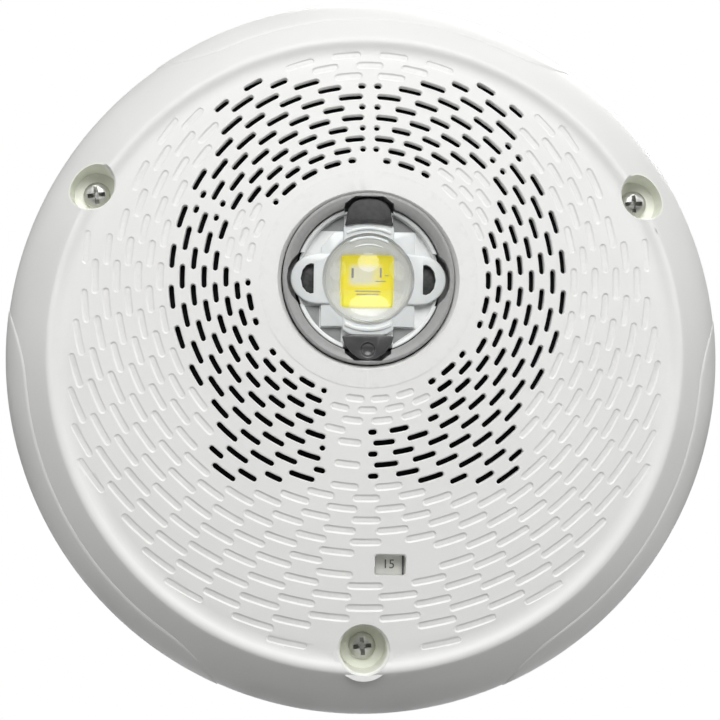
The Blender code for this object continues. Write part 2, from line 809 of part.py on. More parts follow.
def make_moving_cone(centre):
    """Voice coil, cone and dust cap move together; the surround and the spider flex with them."""
    rim = SPEAKER_FACE - 1.6 * MM
    tip = cone_tip()
    neck = COIL_RADIUS + CLEAR
    cone = [
        (CONE_RADIUS, rim),
        (CONE_RADIUS, rim - CONE_SHEET),
        (neck + 9 * MM, tip + 2.4 * MM),
        (neck, tip - CONE_SHEET),
        (neck, tip),
        (neck + 9 * MM - CONE_SHEET, tip + 2.4 * MM + CONE_SHEET),
    ]
    turned("cone", cone, paper_black(), centre)
    coil_low = basket_floor() - CLEAR - TOP_PLATE_THICK - 1.2 * MM
    coil = [
        (COIL_RADIUS, tip),
        (COIL_RADIUS, coil_low),
        (COIL_RADIUS - COIL_WALL, coil_low),
        (COIL_RADIUS - COIL_WALL, tip),
    ]
    copper = make_material("copper", (0.72, 0.33, 0.16), 0.35, 1.0)
    turned("voice_coil", coil, copper, centre)
    cap_rim = neck + 2.2 * MM
    cap_low = tip + 0.9 * MM + CLEAR
    cap = [
        (0.0, cap_low + 3.4 * MM),
        (cap_rim * 0.5, cap_low + 2.8 * MM),
        (cap_rim * 0.85, cap_low + 1.4 * MM),
        (cap_rim, cap_low),
        (cap_rim - 0.7 * MM, cap_low),
        (cap_rim * 0.8, cap_low + 0.8 * MM),
        (cap_rim * 0.5, cap_low + 2.1 * MM),
        (0.0, cap_low + 2.7 * MM),
    ]
    turned("dust_cap", cap, paper_black(), centre)
    make_suspension(centre, rim, tip)


def make_suspension(centre, rim, tip):
    rubber = make_material("foam_rubber", (0.05, 0.05, 0.05), 0.85)
    inner = CONE_RADIUS + CLEAR
    outer = SURROUND_OUTER
    middle = (inner + outer) / 2
    seat = SPEAKER_FACE + CLEAR
    thick = 0.6 * MM
    surround = [
        (outer, seat + thick),
        (outer, seat),
        (middle + 1.6 * MM, seat),
        (middle, seat + 1.2 * MM),
        (inner + 0.8 * MM, rim),
        (inner, rim),
        (inner, rim + thick),
        (inner + 0.6 * MM, rim + thick),
        (middle, seat + 1.2 * MM + thick),
        (middle + 1.8 * MM, seat + thick),
    ]
    turned("surround", surround, rubber, centre)
    gasket = [
        (SPEAKER_RADIUS, seat + 1.2 * MM),
        (SPEAKER_RADIUS, seat),
        (outer + CLEAR, seat),
        (outer + CLEAR, seat + 1.2 * MM),
    ]
    felt = make_material("cork", (0.30, 0.24, 0.16), 0.9)
    ring = turned("speaker_gasket", gasket, felt, centre)
    for number in range(4):
        angle = math.radians(45 + 90 * number)
        spot_radius = SPEAKER_SCREW_CIRCLE
        spot = (centre[0] + spot_radius * math.cos(angle), centre[1] + spot_radius * math.sin(angle))
        hole = disc(f"gasket_hole_{number}", 1.2 * MM + CLEAR, 0.0, 30 * MM, felt, spot, 10)
        combine(ring, hole)
    level = basket_floor() + BASKET_SHEET + CONE_TRAVEL + 0.6 * MM
    spider = [(BASKET_BACK_RADIUS - 2 * MM, level + 0.5 * MM), (BASKET_BACK_RADIUS - 2 * MM, level)]
    waves = 4
    span = BASKET_BACK_RADIUS - 2 * MM - COIL_RADIUS - CLEAR
    lower = []
    upper = []
    for i in range(1, waves):
        radius = BASKET_BACK_RADIUS - 2 * MM - span * i / waves
        lift = 0.5 * MM if i % 2 else 0.0
        lower.append((radius, level + lift))
        upper.append((radius, level + lift + 0.5 * MM))
    spider += lower
    spider += [(COIL_RADIUS + CLEAR, level), (COIL_RADIUS + CLEAR, level + 0.5 * MM)]
    spider += upper[::-1]
    amber = make_material("spider_cloth", (0.55, 0.36, 0.12), 0.8)
    turned("spider", spider, amber, centre)


def board_outline():
    """A crescent below the loudspeaker, notched round the lower screw well."""
    half = math.acos(-BOARD_TOP / BOARD_RADIUS)
    notch = WELL_RADIUS + WELL_WALL + 1.5 * MM
    gap = math.asin(notch / BOARD_RADIUS)
    down = -math.pi / 2
    right = circle_points(BOARD_RADIUS, 12, (0.0, 0.0), down + gap, down + half)
    left = circle_points(BOARD_RADIUS, 12, (0.0, 0.0), down - half, down - gap)
    notch_top = LOWER_WELL_Y + notch
    return right + left + [(-notch, notch_top), (notch, notch_top)]


def switch_slot(y, left, right, half_height):
    return [(left, y - half_height), (right, y - half_height), (right, y + half_height), (left, y + half_height)]


def strip_level():
    """Top of the number strip, just behind the cover's inner face at the strip's far end."""
    far = WINDOW_X - STRIP_CELL / 2 + STRIP_CELLS * STRIP_CELL
    return dome_height(far, WINDOW_Y - STRIP_HEIGHT / 2) - WALL - STRIP_GAP_TO_COVER


def make_electronics():
    face = BOARD_FACE
    low = face - BOARD_THICK
    travel = (STRIP_CELLS - 1) * STRIP_CELL
    lever = 1.5 * MM
    slot_left = WINDOW_X + 2 * STRIP_CELL - travel - lever - CLEAR
    slot_right = WINDOW_X + 2 * STRIP_CELL + lever + CLEAR
    slot = switch_slot(WINDOW_Y, slot_left, slot_right, 1.0 * MM + CLEAR)
    outline("main_board", [board_outline(), slot], low, face, green_board())
    body_high = strip_level() - STRIP_THICK - 2 * CLEAR - 1.2 * MM
    body_half = SWITCH_BODY_WIDTH / 2
    body_middle = (slot_left + slot_right) / 2
    body_loop = switch_slot(
        WINDOW_Y, body_middle - body_half, body_middle + body_half, SWITCH_BODY_HEIGHT / 2
    )
    outline("candela_switch", [body_loop, slot], face + CLEAR, body_high, black_plastic())
    make_carriage(body_high, lever)
    make_back_settings(low)
    make_board_parts(face, low)


def make_carriage(body_high, lever):
    """The sliding carriage with its lever to the back, and the number strip on it."""
    centre_x = WINDOW_X + 2 * STRIP_CELL
    top = strip_level() - STRIP_THICK - CLEAR
    half = 7.0 * MM
    low = body_high + CLEAR
    plate = box(
        "candela_carriage",
        (centre_x - half, WINDOW_Y - 2.4 * MM, low),
        (centre_x + half, WINDOW_Y + 2.4 * MM, top),
        black_plastic(),
    )
    stem = box(
        "carriage_lever",
        (centre_x - lever, WINDOW_Y - 1.0 * MM, 1.0 * MM),
        (centre_x + lever, WINDOW_Y + 1.0 * MM, (low + top) / 2),
        black_plastic(),
    )
    combine(plate, stem, "UNION")
    left = WINDOW_X - STRIP_CELL / 2
    half_height = STRIP_HEIGHT / 2
    label = make_material("strip_print", (0.72, 0.75, 0.70), 0.5)
    box(
        "candela_strip",
        (left, WINDOW_Y - half_height, strip_level() - STRIP_THICK),
        (left + STRIP_CELLS * STRIP_CELL, WINDOW_Y + half_height, strip_level()),
        label,
    )


def make_back_settings(low):
    """Tap knob, voltage slide and wiring terminals on the back of the board."""
    back = low - CLEAR
    box(
        "tap_switch",
        (KNOB_X - 6 * MM, KNOB_Y - 5.6 * MM, back - 2.6 * MM),
        (KNOB_X + 6 * MM, KNOB_Y + 5.6 * MM, back),
        make_material("switch_blue", (0.05, 0.12, 0.35), 0.5),
    )
    knob_high = back - 2.6 * MM - CLEAR
    knob = disc(
        "tap_knob", KNOB_RADIUS, knob_high - KNOB_THICK, knob_high, black_plastic(), (KNOB_X, KNOB_Y), 24
    )
    pointer = box(
        "pointer_cut",
        (-KNOB_RADIUS * 0.72, -0.6 * MM, -2.0 * MM),
        (KNOB_RADIUS * 0.72, 0.6 * MM, 2.0 * MM),
        black_plastic(),
    )
    pointer.location = (KNOB_X, KNOB_Y, knob_high - 4.0 * MM)
    combine(knob, pointer)
    travel = VOLTAGE_TRAVEL
    opening = switch_slot(SLIDER_Y, SLIDER_X - 1.5 * MM, SLIDER_X + 1.5 * MM + travel, 1.4 * MM + CLEAR)
    opening = [(x + (CLEAR if x > SLIDER_X else -CLEAR), y) for x, y in opening]
    shell = switch_slot(SLIDER_Y, SLIDER_X - 4.5 * MM, SLIDER_X + 4.5 * MM + travel, 3.0 * MM)
    outline("voltage_switch", [shell, opening], back - 3.2 * MM, back, zinc_steel())
    box(
        "voltage_slider",
        (SLIDER_X - 1.5 * MM, SLIDER_Y - 1.4 * MM, back - 5.4 * MM),
        (SLIDER_X + 1.5 * MM, SLIDER_Y + 1.4 * MM, back - CLEAR),
        black_plastic(),
    )
    make_terminals(back)


def make_terminals(back):
    """A four-way block that opens downwards for the wires and backwards for its screws."""
    pitch = 7.5 * MM
    count = 4
    top = -51.5 * MM
    bottom = top - 8.5 * MM
    depth = 8.6 * MM
    left = -count * pitch / 2
    block = box(
        "terminal_block",
        (left, bottom, back - depth),
        (-left, top, back),
        grey_plastic(),
    )
    for number in range(count):
        x = left + pitch * (number + 0.5)
        pocket = box(
            f"wire_pocket_{number}",
            (x - 2.4 * MM, bottom - MM, back - depth + 1.6 * MM),
            (x + 2.4 * MM, top - 1.6 * MM, back - 1.4 * MM),
            grey_plastic(),
        )
        combine(block, pocket)
        y = (top + bottom) / 2
        radius = 1.5 * MM
        hole = disc(
            f"screw_hole_{number}", radius + CLEAR, back - depth - MM, back - depth + 3 * MM,
            grey_plastic(), (x, y), 12,
        )
        combine(block, hole)
        profile = [
            (0.0, back - 3.0 * MM),
            (radius, back - 3.0 * MM),
            (radius, back - depth - CLEAR),
            (radius * 1.5, back - depth - CLEAR),
            (radius * 1.5, back - depth - 1.2 * MM),
            (0.0, back - depth - 1.2 * MM),
        ]
        turned(f"terminal_screw_{number + 1}", profile, zinc_steel(), (x, y), 12)


def make_board_parts(face, low):
    """Transformer, capacitors, header and board screws on the front of the board."""
    height = 8.0 * MM
    base = face + CLEAR
    core_x = -43.8 * MM
    core_y = -43.5 * MM
    steel = make_material("core_steel", (0.30, 0.30, 0.31), 0.5, 0.9)
    core = box(
        "transformer_core",
        (core_x - 6.8 * MM, core_y - 5.2 * MM, base),
        (core_x + 6.8 * MM, core_y + 5.2 * MM, base + height * 0.75),
        steel,
    )
    hollow = (2.0 * MM, 5.2 * MM)
    hollow_half = 3.4 * MM
    for side in (-1, 1):
        near = core_x + side * hollow[0]
        far = core_x + side * hollow[1]
        cut = box(
            f"core_window_{side}",
            (min(near, far), core_y - hollow_half, base - MM),
            (max(near, far), core_y + hollow_half, base + height),
            steel,
        )
        combine(core, cut)
    coil_half = hollow_half - CLEAR
    wire = make_material("coil_tape", (0.70, 0.55, 0.10), 0.5)
    for number, side in enumerate((-1, 1)):
        near = core_x + side * (hollow[0] + CLEAR)
        far = core_x + side * (hollow[1] - CLEAR)
        box(
            f"transformer_coil_{number + 1}",
            (min(near, far), core_y - coil_half, base + 0.6 * MM),
            (max(near, far), core_y + coil_half, base + height * 0.7),
            wire,
        )
    can = make_material("capacitor_sleeve", (0.03, 0.05, 0.14), 0.35)
    spots = ((-18.0, -58.5, 3.0), (18.5, -58.5, 3.0), (27.5, -58.0, 3.4))
    for number, (x, y, radius) in enumerate(spots):
        disc(
            f"capacitor_{number + 1}", radius * MM, base, base + 0.62 * height, can,
            (x * MM, y * MM), SMALL_STEPS,
        )
    flash_radius = 3.2 * MM
    flash = disc("flash_capacitor", flash_radius, -9 * MM, 9 * MM, can, steps=SMALL_STEPS)
    flash.rotation_euler = (0.0, math.radians(90), 0.0)
    flash.location = (35.0 * MM, BOARD_TOP - 0.5 * MM - flash_radius, base + flash_radius)
    pins = make_material("header_cream", (0.80, 0.76, 0.62), 0.5)
    box(
        "connector_header",
        (-31.0 * MM, -61.0 * MM, base),
        (-24.5 * MM, -57.0 * MM, base + 4.2 * MM),
        pins,
    )


def build():
    global parts, guides, device
    clear_scene()
    parts = bpy.data.collections.new("speaker_strobe")
    guides = bpy.data.collections.new("cutters")
    for collection in (parts, guides):
        bpy.context.scene.collection.children.link(collection)
    device = bpy.data.objects.new("device_axes", None)
    device.rotation_euler = (math.radians(90), 0.0, 0.0)
    parts.objects.link(device)
    make_cover()
    make_cover_screws()
    make_mounting_plate()
    make_strobe_module()
    make_dust_screen()
    make_speaker()
    make_electronics()


build()
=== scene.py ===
import math

import bmesh
import bpy
from mathutils import Matrix, Vector


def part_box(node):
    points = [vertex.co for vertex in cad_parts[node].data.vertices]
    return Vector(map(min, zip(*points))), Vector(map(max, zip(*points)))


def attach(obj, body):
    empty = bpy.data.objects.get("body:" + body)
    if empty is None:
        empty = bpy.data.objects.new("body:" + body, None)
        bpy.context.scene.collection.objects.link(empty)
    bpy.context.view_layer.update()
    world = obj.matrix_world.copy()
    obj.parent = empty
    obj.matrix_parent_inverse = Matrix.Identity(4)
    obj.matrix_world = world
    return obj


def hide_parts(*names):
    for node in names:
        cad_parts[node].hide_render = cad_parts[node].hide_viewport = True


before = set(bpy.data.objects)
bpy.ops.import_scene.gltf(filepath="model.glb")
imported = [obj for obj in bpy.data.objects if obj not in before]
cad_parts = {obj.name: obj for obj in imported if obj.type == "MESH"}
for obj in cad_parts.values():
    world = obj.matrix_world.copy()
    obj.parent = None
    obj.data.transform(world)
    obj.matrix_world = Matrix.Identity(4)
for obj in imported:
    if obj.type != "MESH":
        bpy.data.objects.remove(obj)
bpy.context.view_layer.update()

# Everything is built in the device's own axes, in millimetres: x right, y up, z out of the wall.
# settle() turns a finished piece to the frame: face toward -Y, up along +Z.
mm = 0.001
toFrame = Matrix.Rotation(math.radians(90), 4, "X")
scene = bpy.context.scene
for startup in ("Cube", "Light", "Camera"):
    if startup in bpy.data.objects:
        bpy.data.objects.remove(bpy.data.objects[startup])


def boxOf(node):
    # x, y and z limits of a CAD node in the device's axes, in millimetres
    low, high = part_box(node)
    return (low.x / mm, high.x / mm), (low.z / mm, high.z / mm), (-high.y / mm, -low.y / mm)


def centreOf(node):
    return tuple((low + high) / 2 for low, high in boxOf(node))


def levelsOf(node):
    return boxOf(node)[2]


def radiusOf(node):
    (left, right), _, _ = boxOf(node)
    return (right - left) / 2


def deselectAll():
    if bpy.context.object and bpy.context.object.mode != "OBJECT":
        bpy.ops.object.mode_set(mode="OBJECT")
    bpy.ops.object.select_all(action="DESELECT")


def activate(obj):
    deselectAll()
    obj.select_set(True)
    bpy.context.view_layer.objects.active = obj
    return obj


def freeze(obj):
    activate(obj)
    bpy.ops.object.transform_apply(location=True, rotation=True, scale=True)
    return obj


def cylinder(name, radius, low, high, at=(0, 0), sides=64):
    bpy.ops.mesh.primitive_cylinder_add(
        vertices=sides,
        radius=radius * mm,
        depth=(high - low) * mm,
        location=(at[0] * mm, at[1] * mm, (low + high) / 2 * mm),
    )
    bpy.context.object.name = name
    return freeze(bpy.context.object)


def block(name, low, high):
    bpy.ops.mesh.primitive_cube_add(size=1, location=[(a + b) / 2 * mm for a, b in zip(low, high)])
    obj = bpy.context.object
    obj.name = name
    obj.scale = [(b - a) * mm for a, b in zip(low, high)]
    return freeze(obj)


def fromMesh(name, mesh):
    obj = bpy.data.objects.new(name, mesh)
    scene.collection.objects.link(obj)
    return obj


def meshPiece(name, points, faces, edges=()):
    mesh = bpy.data.meshes.new(name)
    mesh.from_pydata([Vector(p) * mm for p in points], edges, faces)
    return fromMesh(name, mesh)


def bmeshPiece(name, source):
    mesh = bpy.data.meshes.new(name)
    source.to_mesh(mesh)
    source.free()
    return fixNormals(fromMesh(name, mesh))


def loopPiece(name, stacks):
    # closed shapes, each a stack of loops with the same number of points, top loop first
    shape = bmesh.new()
    for loops in stacks:
        rings = [[shape.verts.new(Vector(p) * mm) for p in loop] for loop in loops]
        for upper, lower in zip(rings, rings[1:]):
            for i in range(len(upper)):
                j = (i + 1) % len(upper)
                shape.faces.new((upper[i], upper[j], lower[j], lower[i]))
        shape.faces.new(list(reversed(rings[0])))
        shape.faces.new(rings[-1])
    return bmeshPiece(name, shape)


def applyModifier(obj, kind, **settings):
    activate(obj)
    bpy.ops.object.modifier_add(type=kind)
    modifier = obj.modifiers[-1]
    for key, value in settings.items():
        setattr(modifier, key, value)
    bpy.ops.object.modifier_apply(modifier=modifier.name)
    return obj


def fixNormals(obj):
    activate(obj)
    bpy.ops.object.mode_set(mode="EDIT")
    bpy.ops.mesh.select_all(action="SELECT")
    bpy.ops.mesh.remove_doubles(threshold=1e-7)
    bpy.ops.mesh.normals_make_consistent(inside=False)
    bpy.ops.object.mode_set(mode="OBJECT")
    return obj


def lathe(name, profile, at=(0, 0), steps=96):
    # profile: (radius, z) points round the closed section; spun about the device's z
    points = [(r, 0, z) for r, z in profile]
    edges = [(i, (i + 1) % len(points)) for i in range(len(points))]
    obj = meshPiece(name, points, [], edges)
    applyModifier(
        obj,
        "SCREW",
        axis="Z",
        steps=steps,
        render_steps=steps,
        use_merge_vertices=True,
        merge_threshold=1e-6,
        use_normal_calculate=True,
    )
    fixNormals(obj)
    obj.location = (at[0] * mm, at[1] * mm, 0)
    return freeze(obj)


def combine(target, other, how="DIFFERENCE"):
    applyModifier(target, "BOOLEAN", object=other, operation=how, solver="MANIFOLD")
    bpy.data.objects.remove(other)
    return target


def bevelEdges(obj, width, segments=2, angle=30):
    return applyModifier(
        obj,
        "BEVEL",
        width=width * mm,
        segments=segments,
        limit_method="ANGLE",
        angle_limit=math.radians(angle),
        harden_normals=False,
    )


def smooth(obj, angle=32):
    activate(obj)
    bpy.ops.object.shade_smooth_by_angle(angle=math.radians(angle))
    return obj


def join(name, pieces):
    deselectAll()
    for piece in pieces:
        piece.select_set(True)
    bpy.context.view_layer.objects.active = pieces[0]
    bpy.ops.object.join()
    bpy.context.object.name = name
    return bpy.context.object


def moveTo(obj, x=0, y=0, z=0, turn=0):
    # turn about the device's z first, then move
    place = Matrix.Translation((x * mm, y * mm, z * mm))
    obj.data.transform(place @ Matrix.Rotation(math.radians(turn), 4, "Z"))
    return obj


def settle(obj, name, look, slotName=None, body="root", stands=()):
    obj.data.transform(toFrame)
    obj.name = name
    obj.data.name = name
    obj.data.materials.clear()
    obj.data.materials.append(materials[look])
    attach(obj, body)
    slotName or look
    if stands:
        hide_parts(*stands)


def standIn(obj, node, look, slotName=None, body="root"):
    settle(obj, node + "_look", look, slotName, body, (node,))


def newGroup(name, inputs, outputs):
    group = bpy.data.node_groups.new(name, "ShaderNodeTree")
    for title, kind, value in inputs:
        socket = group.interface.new_socket(name=title, in_out="INPUT", socket_type=kind)
        if value is not None:
            socket.default_value = value
    for title, kind in outputs:
        group.interface.new_socket(name=title, in_out="OUTPUT", socket_type=kind)
    return group, group.nodes.new("NodeGroupInput").outputs, group.nodes.new("NodeGroupOutput").inputs


def feed(tree, socket, value):
    # a number or a colour is set on the socket, an output is linked to it
    if isinstance(value, tuple):
        socket.default_value = (*value, 1.0)
    elif isinstance(value, (int, float)):
        socket.default_value = value
    else:
        tree.links.new(value, socket)


def mathNode(tree, operation, first, second=None, clamp=False):
    node = tree.nodes.new("ShaderNodeMath")
    node.operation = operation
    node.use_clamp = clamp
    feed(tree, node.inputs[0], first)
    if second is not None:
        feed(tree, node.inputs[1], second)
    return node.outputs[0]


def mapRange(tree, value, low, high, toLow=0.0, toHigh=1.0):
    node = tree.nodes.new("ShaderNodeMapRange")
    titles = ("Value", "From Min", "From Max", "To Min", "To Max")
    for title, number in zip(titles, (value, low, high, toLow, toHigh)):
        feed(tree, node.inputs[title], number)
    return node.outputs[0]


def noise(tree, vector, scale, detail=2.0):
    node = tree.nodes.new("ShaderNodeTexNoise")
    for title, value in (("Vector", vector), ("Scale", scale), ("Detail", detail)):
        feed(tree, node.inputs[title], value)
    return node.outputs[0]


def mixColour(tree, factor, first, second):
    node = tree.nodes.new("ShaderNodeMix")
    node.data_type = "RGBA"
    for index, value in ((0, factor), (6, first), (7, second)):
        feed(tree, node.inputs[index], value)
    return node.outputs[2]


def bumpNode(tree, height, strength, distance):
    node = tree.nodes.new("ShaderNodeBump")
    for title, value in (("Strength", strength), ("Distance", distance), ("Height", height)):
        feed(tree, node.inputs[title], value)
    return node.outputs["Normal"]


def splitAxes(tree, vector):
    node = tree.nodes.new("ShaderNodeSeparateXYZ")
    feed(tree, node.inputs[0], vector)
    return node.outputs


def buildSurfaceGroup():
    # large soft mottle, sparse specks and the bump of a fine grain
    surface = {
        "mottle": (0.3, 0.7), "detail": 4.0, "grainDetail": 3.0, "speckRate": 6.0, "speck": (0.02, 0.07), "depth": 0.00004
    }
    titles = ("Mottle Scale", "Grain Scale", "Grain Height")
    group, start, end = newGroup(
        "surfaceVariation",
        [("Vector", "NodeSocketVector", None)] + [(title, "NodeSocketFloat", 1.0) for title in titles],
        [("Mottle", "NodeSocketFloat"), ("Specks", "NodeSocketFloat"), ("Normal", "NodeSocketVector")],
    )
    mottle = noise(group, start["Vector"], start["Mottle Scale"], surface["detail"])
    feed(group, end["Mottle"], mapRange(group, mottle, *surface["mottle"]))
    dots = group.nodes.new("ShaderNodeTexVoronoi")
    dots.feature = "F1"
    feed(group, dots.inputs["Vector"], start["Vector"])
    feed(group, dots.inputs["Scale"], mathNode(group, "MULTIPLY", start["Mottle Scale"], surface["speckRate"]))
    feed(group, end["Specks"], mapRange(group, dots.outputs["Distance"], *surface["speck"], 1.0, 0.0))
    grain = noise(group, start["Vector"], start["Grain Scale"], surface["grainDetail"])
    feed(group, end["Normal"], bumpNode(group, grain, start["Grain Height"], surface["depth"]))
    return group


def buildEdgeGroup():
    # masks of worn convex edges and of dirt in the corners, broken up by noise
    edge = {"scale": 900.0, "detail": 4.0, "spread": (0.35, 0.65), "flat": 0.5, "margin": 0.005}
    group, start, end = newGroup(
        "edgeWear",
        [("Vector", "NodeSocketVector", None), ("Width", "NodeSocketFloat", 0.03)],
        [("Edges", "NodeSocketFloat"), ("Corners", "NodeSocketFloat")],
    )
    pointiness = group.nodes.new("ShaderNodeNewGeometry").outputs["Pointiness"]
    broken = mapRange(group, noise(group, start["Vector"], edge["scale"], edge["detail"]), *edge["spread"])
    for title, way, margin in (("Edges", "ADD", edge["margin"]), ("Corners", "SUBTRACT", -edge["margin"])):
        far = mathNode(group, way, edge["flat"], start["Width"])
        mask = mapRange(group, pointiness, edge["flat"] + margin, far)
        feed(group, end[title], mathNode(group, "MULTIPLY", mask, broken, True))
    return group


surfaceGroup = buildSurfaceGroup()
edgeGroup = buildEdgeGroup()


def addGroup(tree, group, vector, **values):
    node = tree.nodes.new("ShaderNodeGroup")
    node.node_tree = group
    feed(tree, node.inputs["Vector"], vector)
    for key, value in values.items():
        feed(tree, node.inputs[key.replace("_", " ")], value)
    return node.outputs


def startMaterial(name):
    material = bpy.data.materials.new(name)
    material.use_nodes = True
    tree = material.node_tree
    place = tree.nodes.new("ShaderNodeTexCoord").outputs["Object"]
    return material, tree, tree.nodes["Principled BSDF"].inputs, place


def shade(colour, by):
    return tuple(min(1.0, max(0.0, c * by)) for c in colour)


# what a look has unless it says otherwise, and how far specks, dirt, wear and roughness go
plainLook = {
    "mottle": 0.04,
    "mottleScale": 60.0,
    "grain": 0.1,
    "grainScale": 2600.0,
    "edgeWidth": 0.05,
    "specks": 0.15,
    "dirt": 0.25,
    "wear": 0.3,
    "metal": 0.0,
    "specular": 0.5,
    "subsurface": 0.0,
}
finish = {"speck": 0.45, "dirt": 0.5, "wear": 1.35, "rough": (0.86, 1.16), "depth": (0.0006, 0.0005, 0.0004)}


def finishOf(name, ownLook):
    look = {**plainLook, **ownLook}
    material, tree, shader, place = startMaterial(name)
    surface = addGroup(
        tree,
        surfaceGroup,
        place,
        Mottle_Scale=look["mottleScale"],
        Grain_Scale=look["grainScale"],
        Grain_Height=look["grain"],
    )
    edges = addGroup(tree, edgeGroup, place, Width=look["edgeWidth"])
    colour, spread = look["colour"], look["mottle"]
    base = mixColour(tree, surface["Mottle"], shade(colour, 1 - spread), shade(colour, 1 + spread))
    for mask, amount, over in (
        (surface["Specks"], look["specks"], shade(colour, finish["speck"])),
        (edges["Corners"], look["dirt"], shade(colour, finish["dirt"])),
        (edges["Edges"], look["wear"], look.get("wearColour", shade(colour, finish["wear"]))),
    ):
        base = mixColour(tree, mathNode(tree, "MULTIPLY", mask, amount), base, over)
    low, high = (look["rough"] * by for by in finish["rough"])
    feed(tree, shader["Base Color"], base)
    feed(tree, shader["Roughness"], mapRange(tree, surface["Mottle"], 0.0, 1.0, low, min(1.0, high)))
    feed(tree, shader["Normal"], surface["Normal"])
    shader["Metallic"].default_value = look["metal"]
    shader["Specular IOR Level"].default_value = look["specular"]
    if look["subsurface"]:
        shader["Subsurface Weight"].default_value = look["subsurface"]
        shader["Subsurface Radius"].default_value = finish["depth"]
    return material


looks = {
    "white_cover": dict(
        colour=(0.86, 0.86, 0.845), rough=0.5, mottle=0.012, grainScale=3200, specks=0.04, dirt=0.10, wear=0.10,
        wearColour=(0.93, 0.93, 0.92), specular=0.42,
    ),
    "screw_zinc": dict(
        colour=(0.52, 0.52, 0.50), rough=0.34, metal=1.0, mottle=0.12, mottleScale=260, grain=0.22, grainScale=1800,
        dirt=0.6, wear=0.4,
    ),
    "bezel_grey": dict(colour=(0.34, 0.34, 0.335), rough=0.42, mottle=0.05, grain=0.12, wear=0.35),
    "reflector_silver": dict(colour=(0.30, 0.305, 0.305), rough=0.4, mottle=0.05, mottleScale=150),
    "tray_white": dict(colour=(0.90, 0.915, 0.905), rough=0.25, mottle=0.02, mottleScale=150, grain=0.05),
    "board_green": dict(
        colour=(0.02, 0.11, 0.045), rough=0.36, mottle=0.05, mottleScale=110, grain=0.12, specks=0.12, wear=0.15,
        wearColour=(0.30, 0.30, 0.16),
    ),
    "black_plastic": dict(
        colour=(0.016, 0.016, 0.017), rough=0.45, mottle=0.15, grain=0.20, wear=0.4, wearColour=(0.09, 0.09, 0.09)
    ),
    "black_rubber": dict(colour=(0.018, 0.018, 0.018), rough=0.72, mottle=0.2, grain=0.35, grainScale=1500),
    "black_screen": dict(colour=(0.004, 0.004, 0.0045), rough=0.85, mottle=0.2, grain=0.3, specular=0.1),
    "speaker_steel": dict(
        colour=(0.34, 0.345, 0.35), rough=0.46, metal=1.0, mottle=0.08, mottleScale=90, grain=0.2, dirt=0.5
    ),
    "magnet_ferrite": dict(
        colour=(0.05, 0.05, 0.052), rough=0.6, mottle=0.25, grain=0.5, grainScale=1300, wear=0.6,
        wearColour=(0.16, 0.16, 0.16),
    ),
    "coil_copper": dict(colour=(0.60, 0.28, 0.13), rough=0.35, metal=0.9, mottle=0.15, grain=0.3, grainScale=1600),
    "capacitor_sleeve": dict(colour=(0.03, 0.035, 0.06), rough=0.35, mottle=0.1, mottleScale=300, grain=0.12),
    "header_cream": dict(colour=(0.74, 0.68, 0.52), rough=0.45, mottle=0.05, mottleScale=250, grain=0.12),
    "plate_white": dict(
        colour=(0.78, 0.78, 0.765), rough=0.55, mottle=0.02, grain=0.22, grainScale=2200, dirt=0.3, wear=0.15
    ),
    "print_grey": dict(colour=(0.12, 0.13, 0.12), rough=0.6, mottle=0.2, mottleScale=900),
    "strip_print": dict(colour=(0.90, 0.90, 0.84), rough=0.5, mottle=0.05, mottleScale=250, grain=0.12),
    "lens_milky": dict(
        colour=(0.80, 0.83, 0.825), rough=0.18, mottle=0.02, mottleScale=220, grain=0.05, wear=0.1, dirt=0.35,
        subsurface=0.25,
    ),
    "clip_smoke": dict(colour=(0.075, 0.075, 0.077), rough=0.22, mottle=0.15, mottleScale=300),
}
materials = {}
for name, look in looks.items():
    materials[name] = finishOf(name if name not in bpy.data.materials else name + "_look", look)

lensY = 17.0  # the strobe's axis above the cover's axis


def buildGlass():
    glass = {
        "surface": (220.0, 900.0, 0.12), "colours": ((0.97, 0.978, 0.98), (0.985, 0.99, 0.992)), "rough": (0.03, 0.10)
    }
    material, tree, shader, place = startMaterial("lens_clear_look")
    scale, grain, height = glass["surface"]
    surface = addGroup(tree, surfaceGroup, place, Mottle_Scale=scale, Grain_Scale=grain, Grain_Height=height)
    feed(tree, shader["Base Color"], mixColour(tree, surface["Mottle"], *glass["colours"]))
    feed(tree, shader["Roughness"], mapRange(tree, surface["Mottle"], 0.0, 1.0, *glass["rough"]))
    feed(tree, shader["Normal"], surface["Normal"])
    shader["Metallic"].default_value = 0.0
    shader["Transmission Weight"].default_value = 1.0
    shader["IOR"].default_value = 1.45
    return material


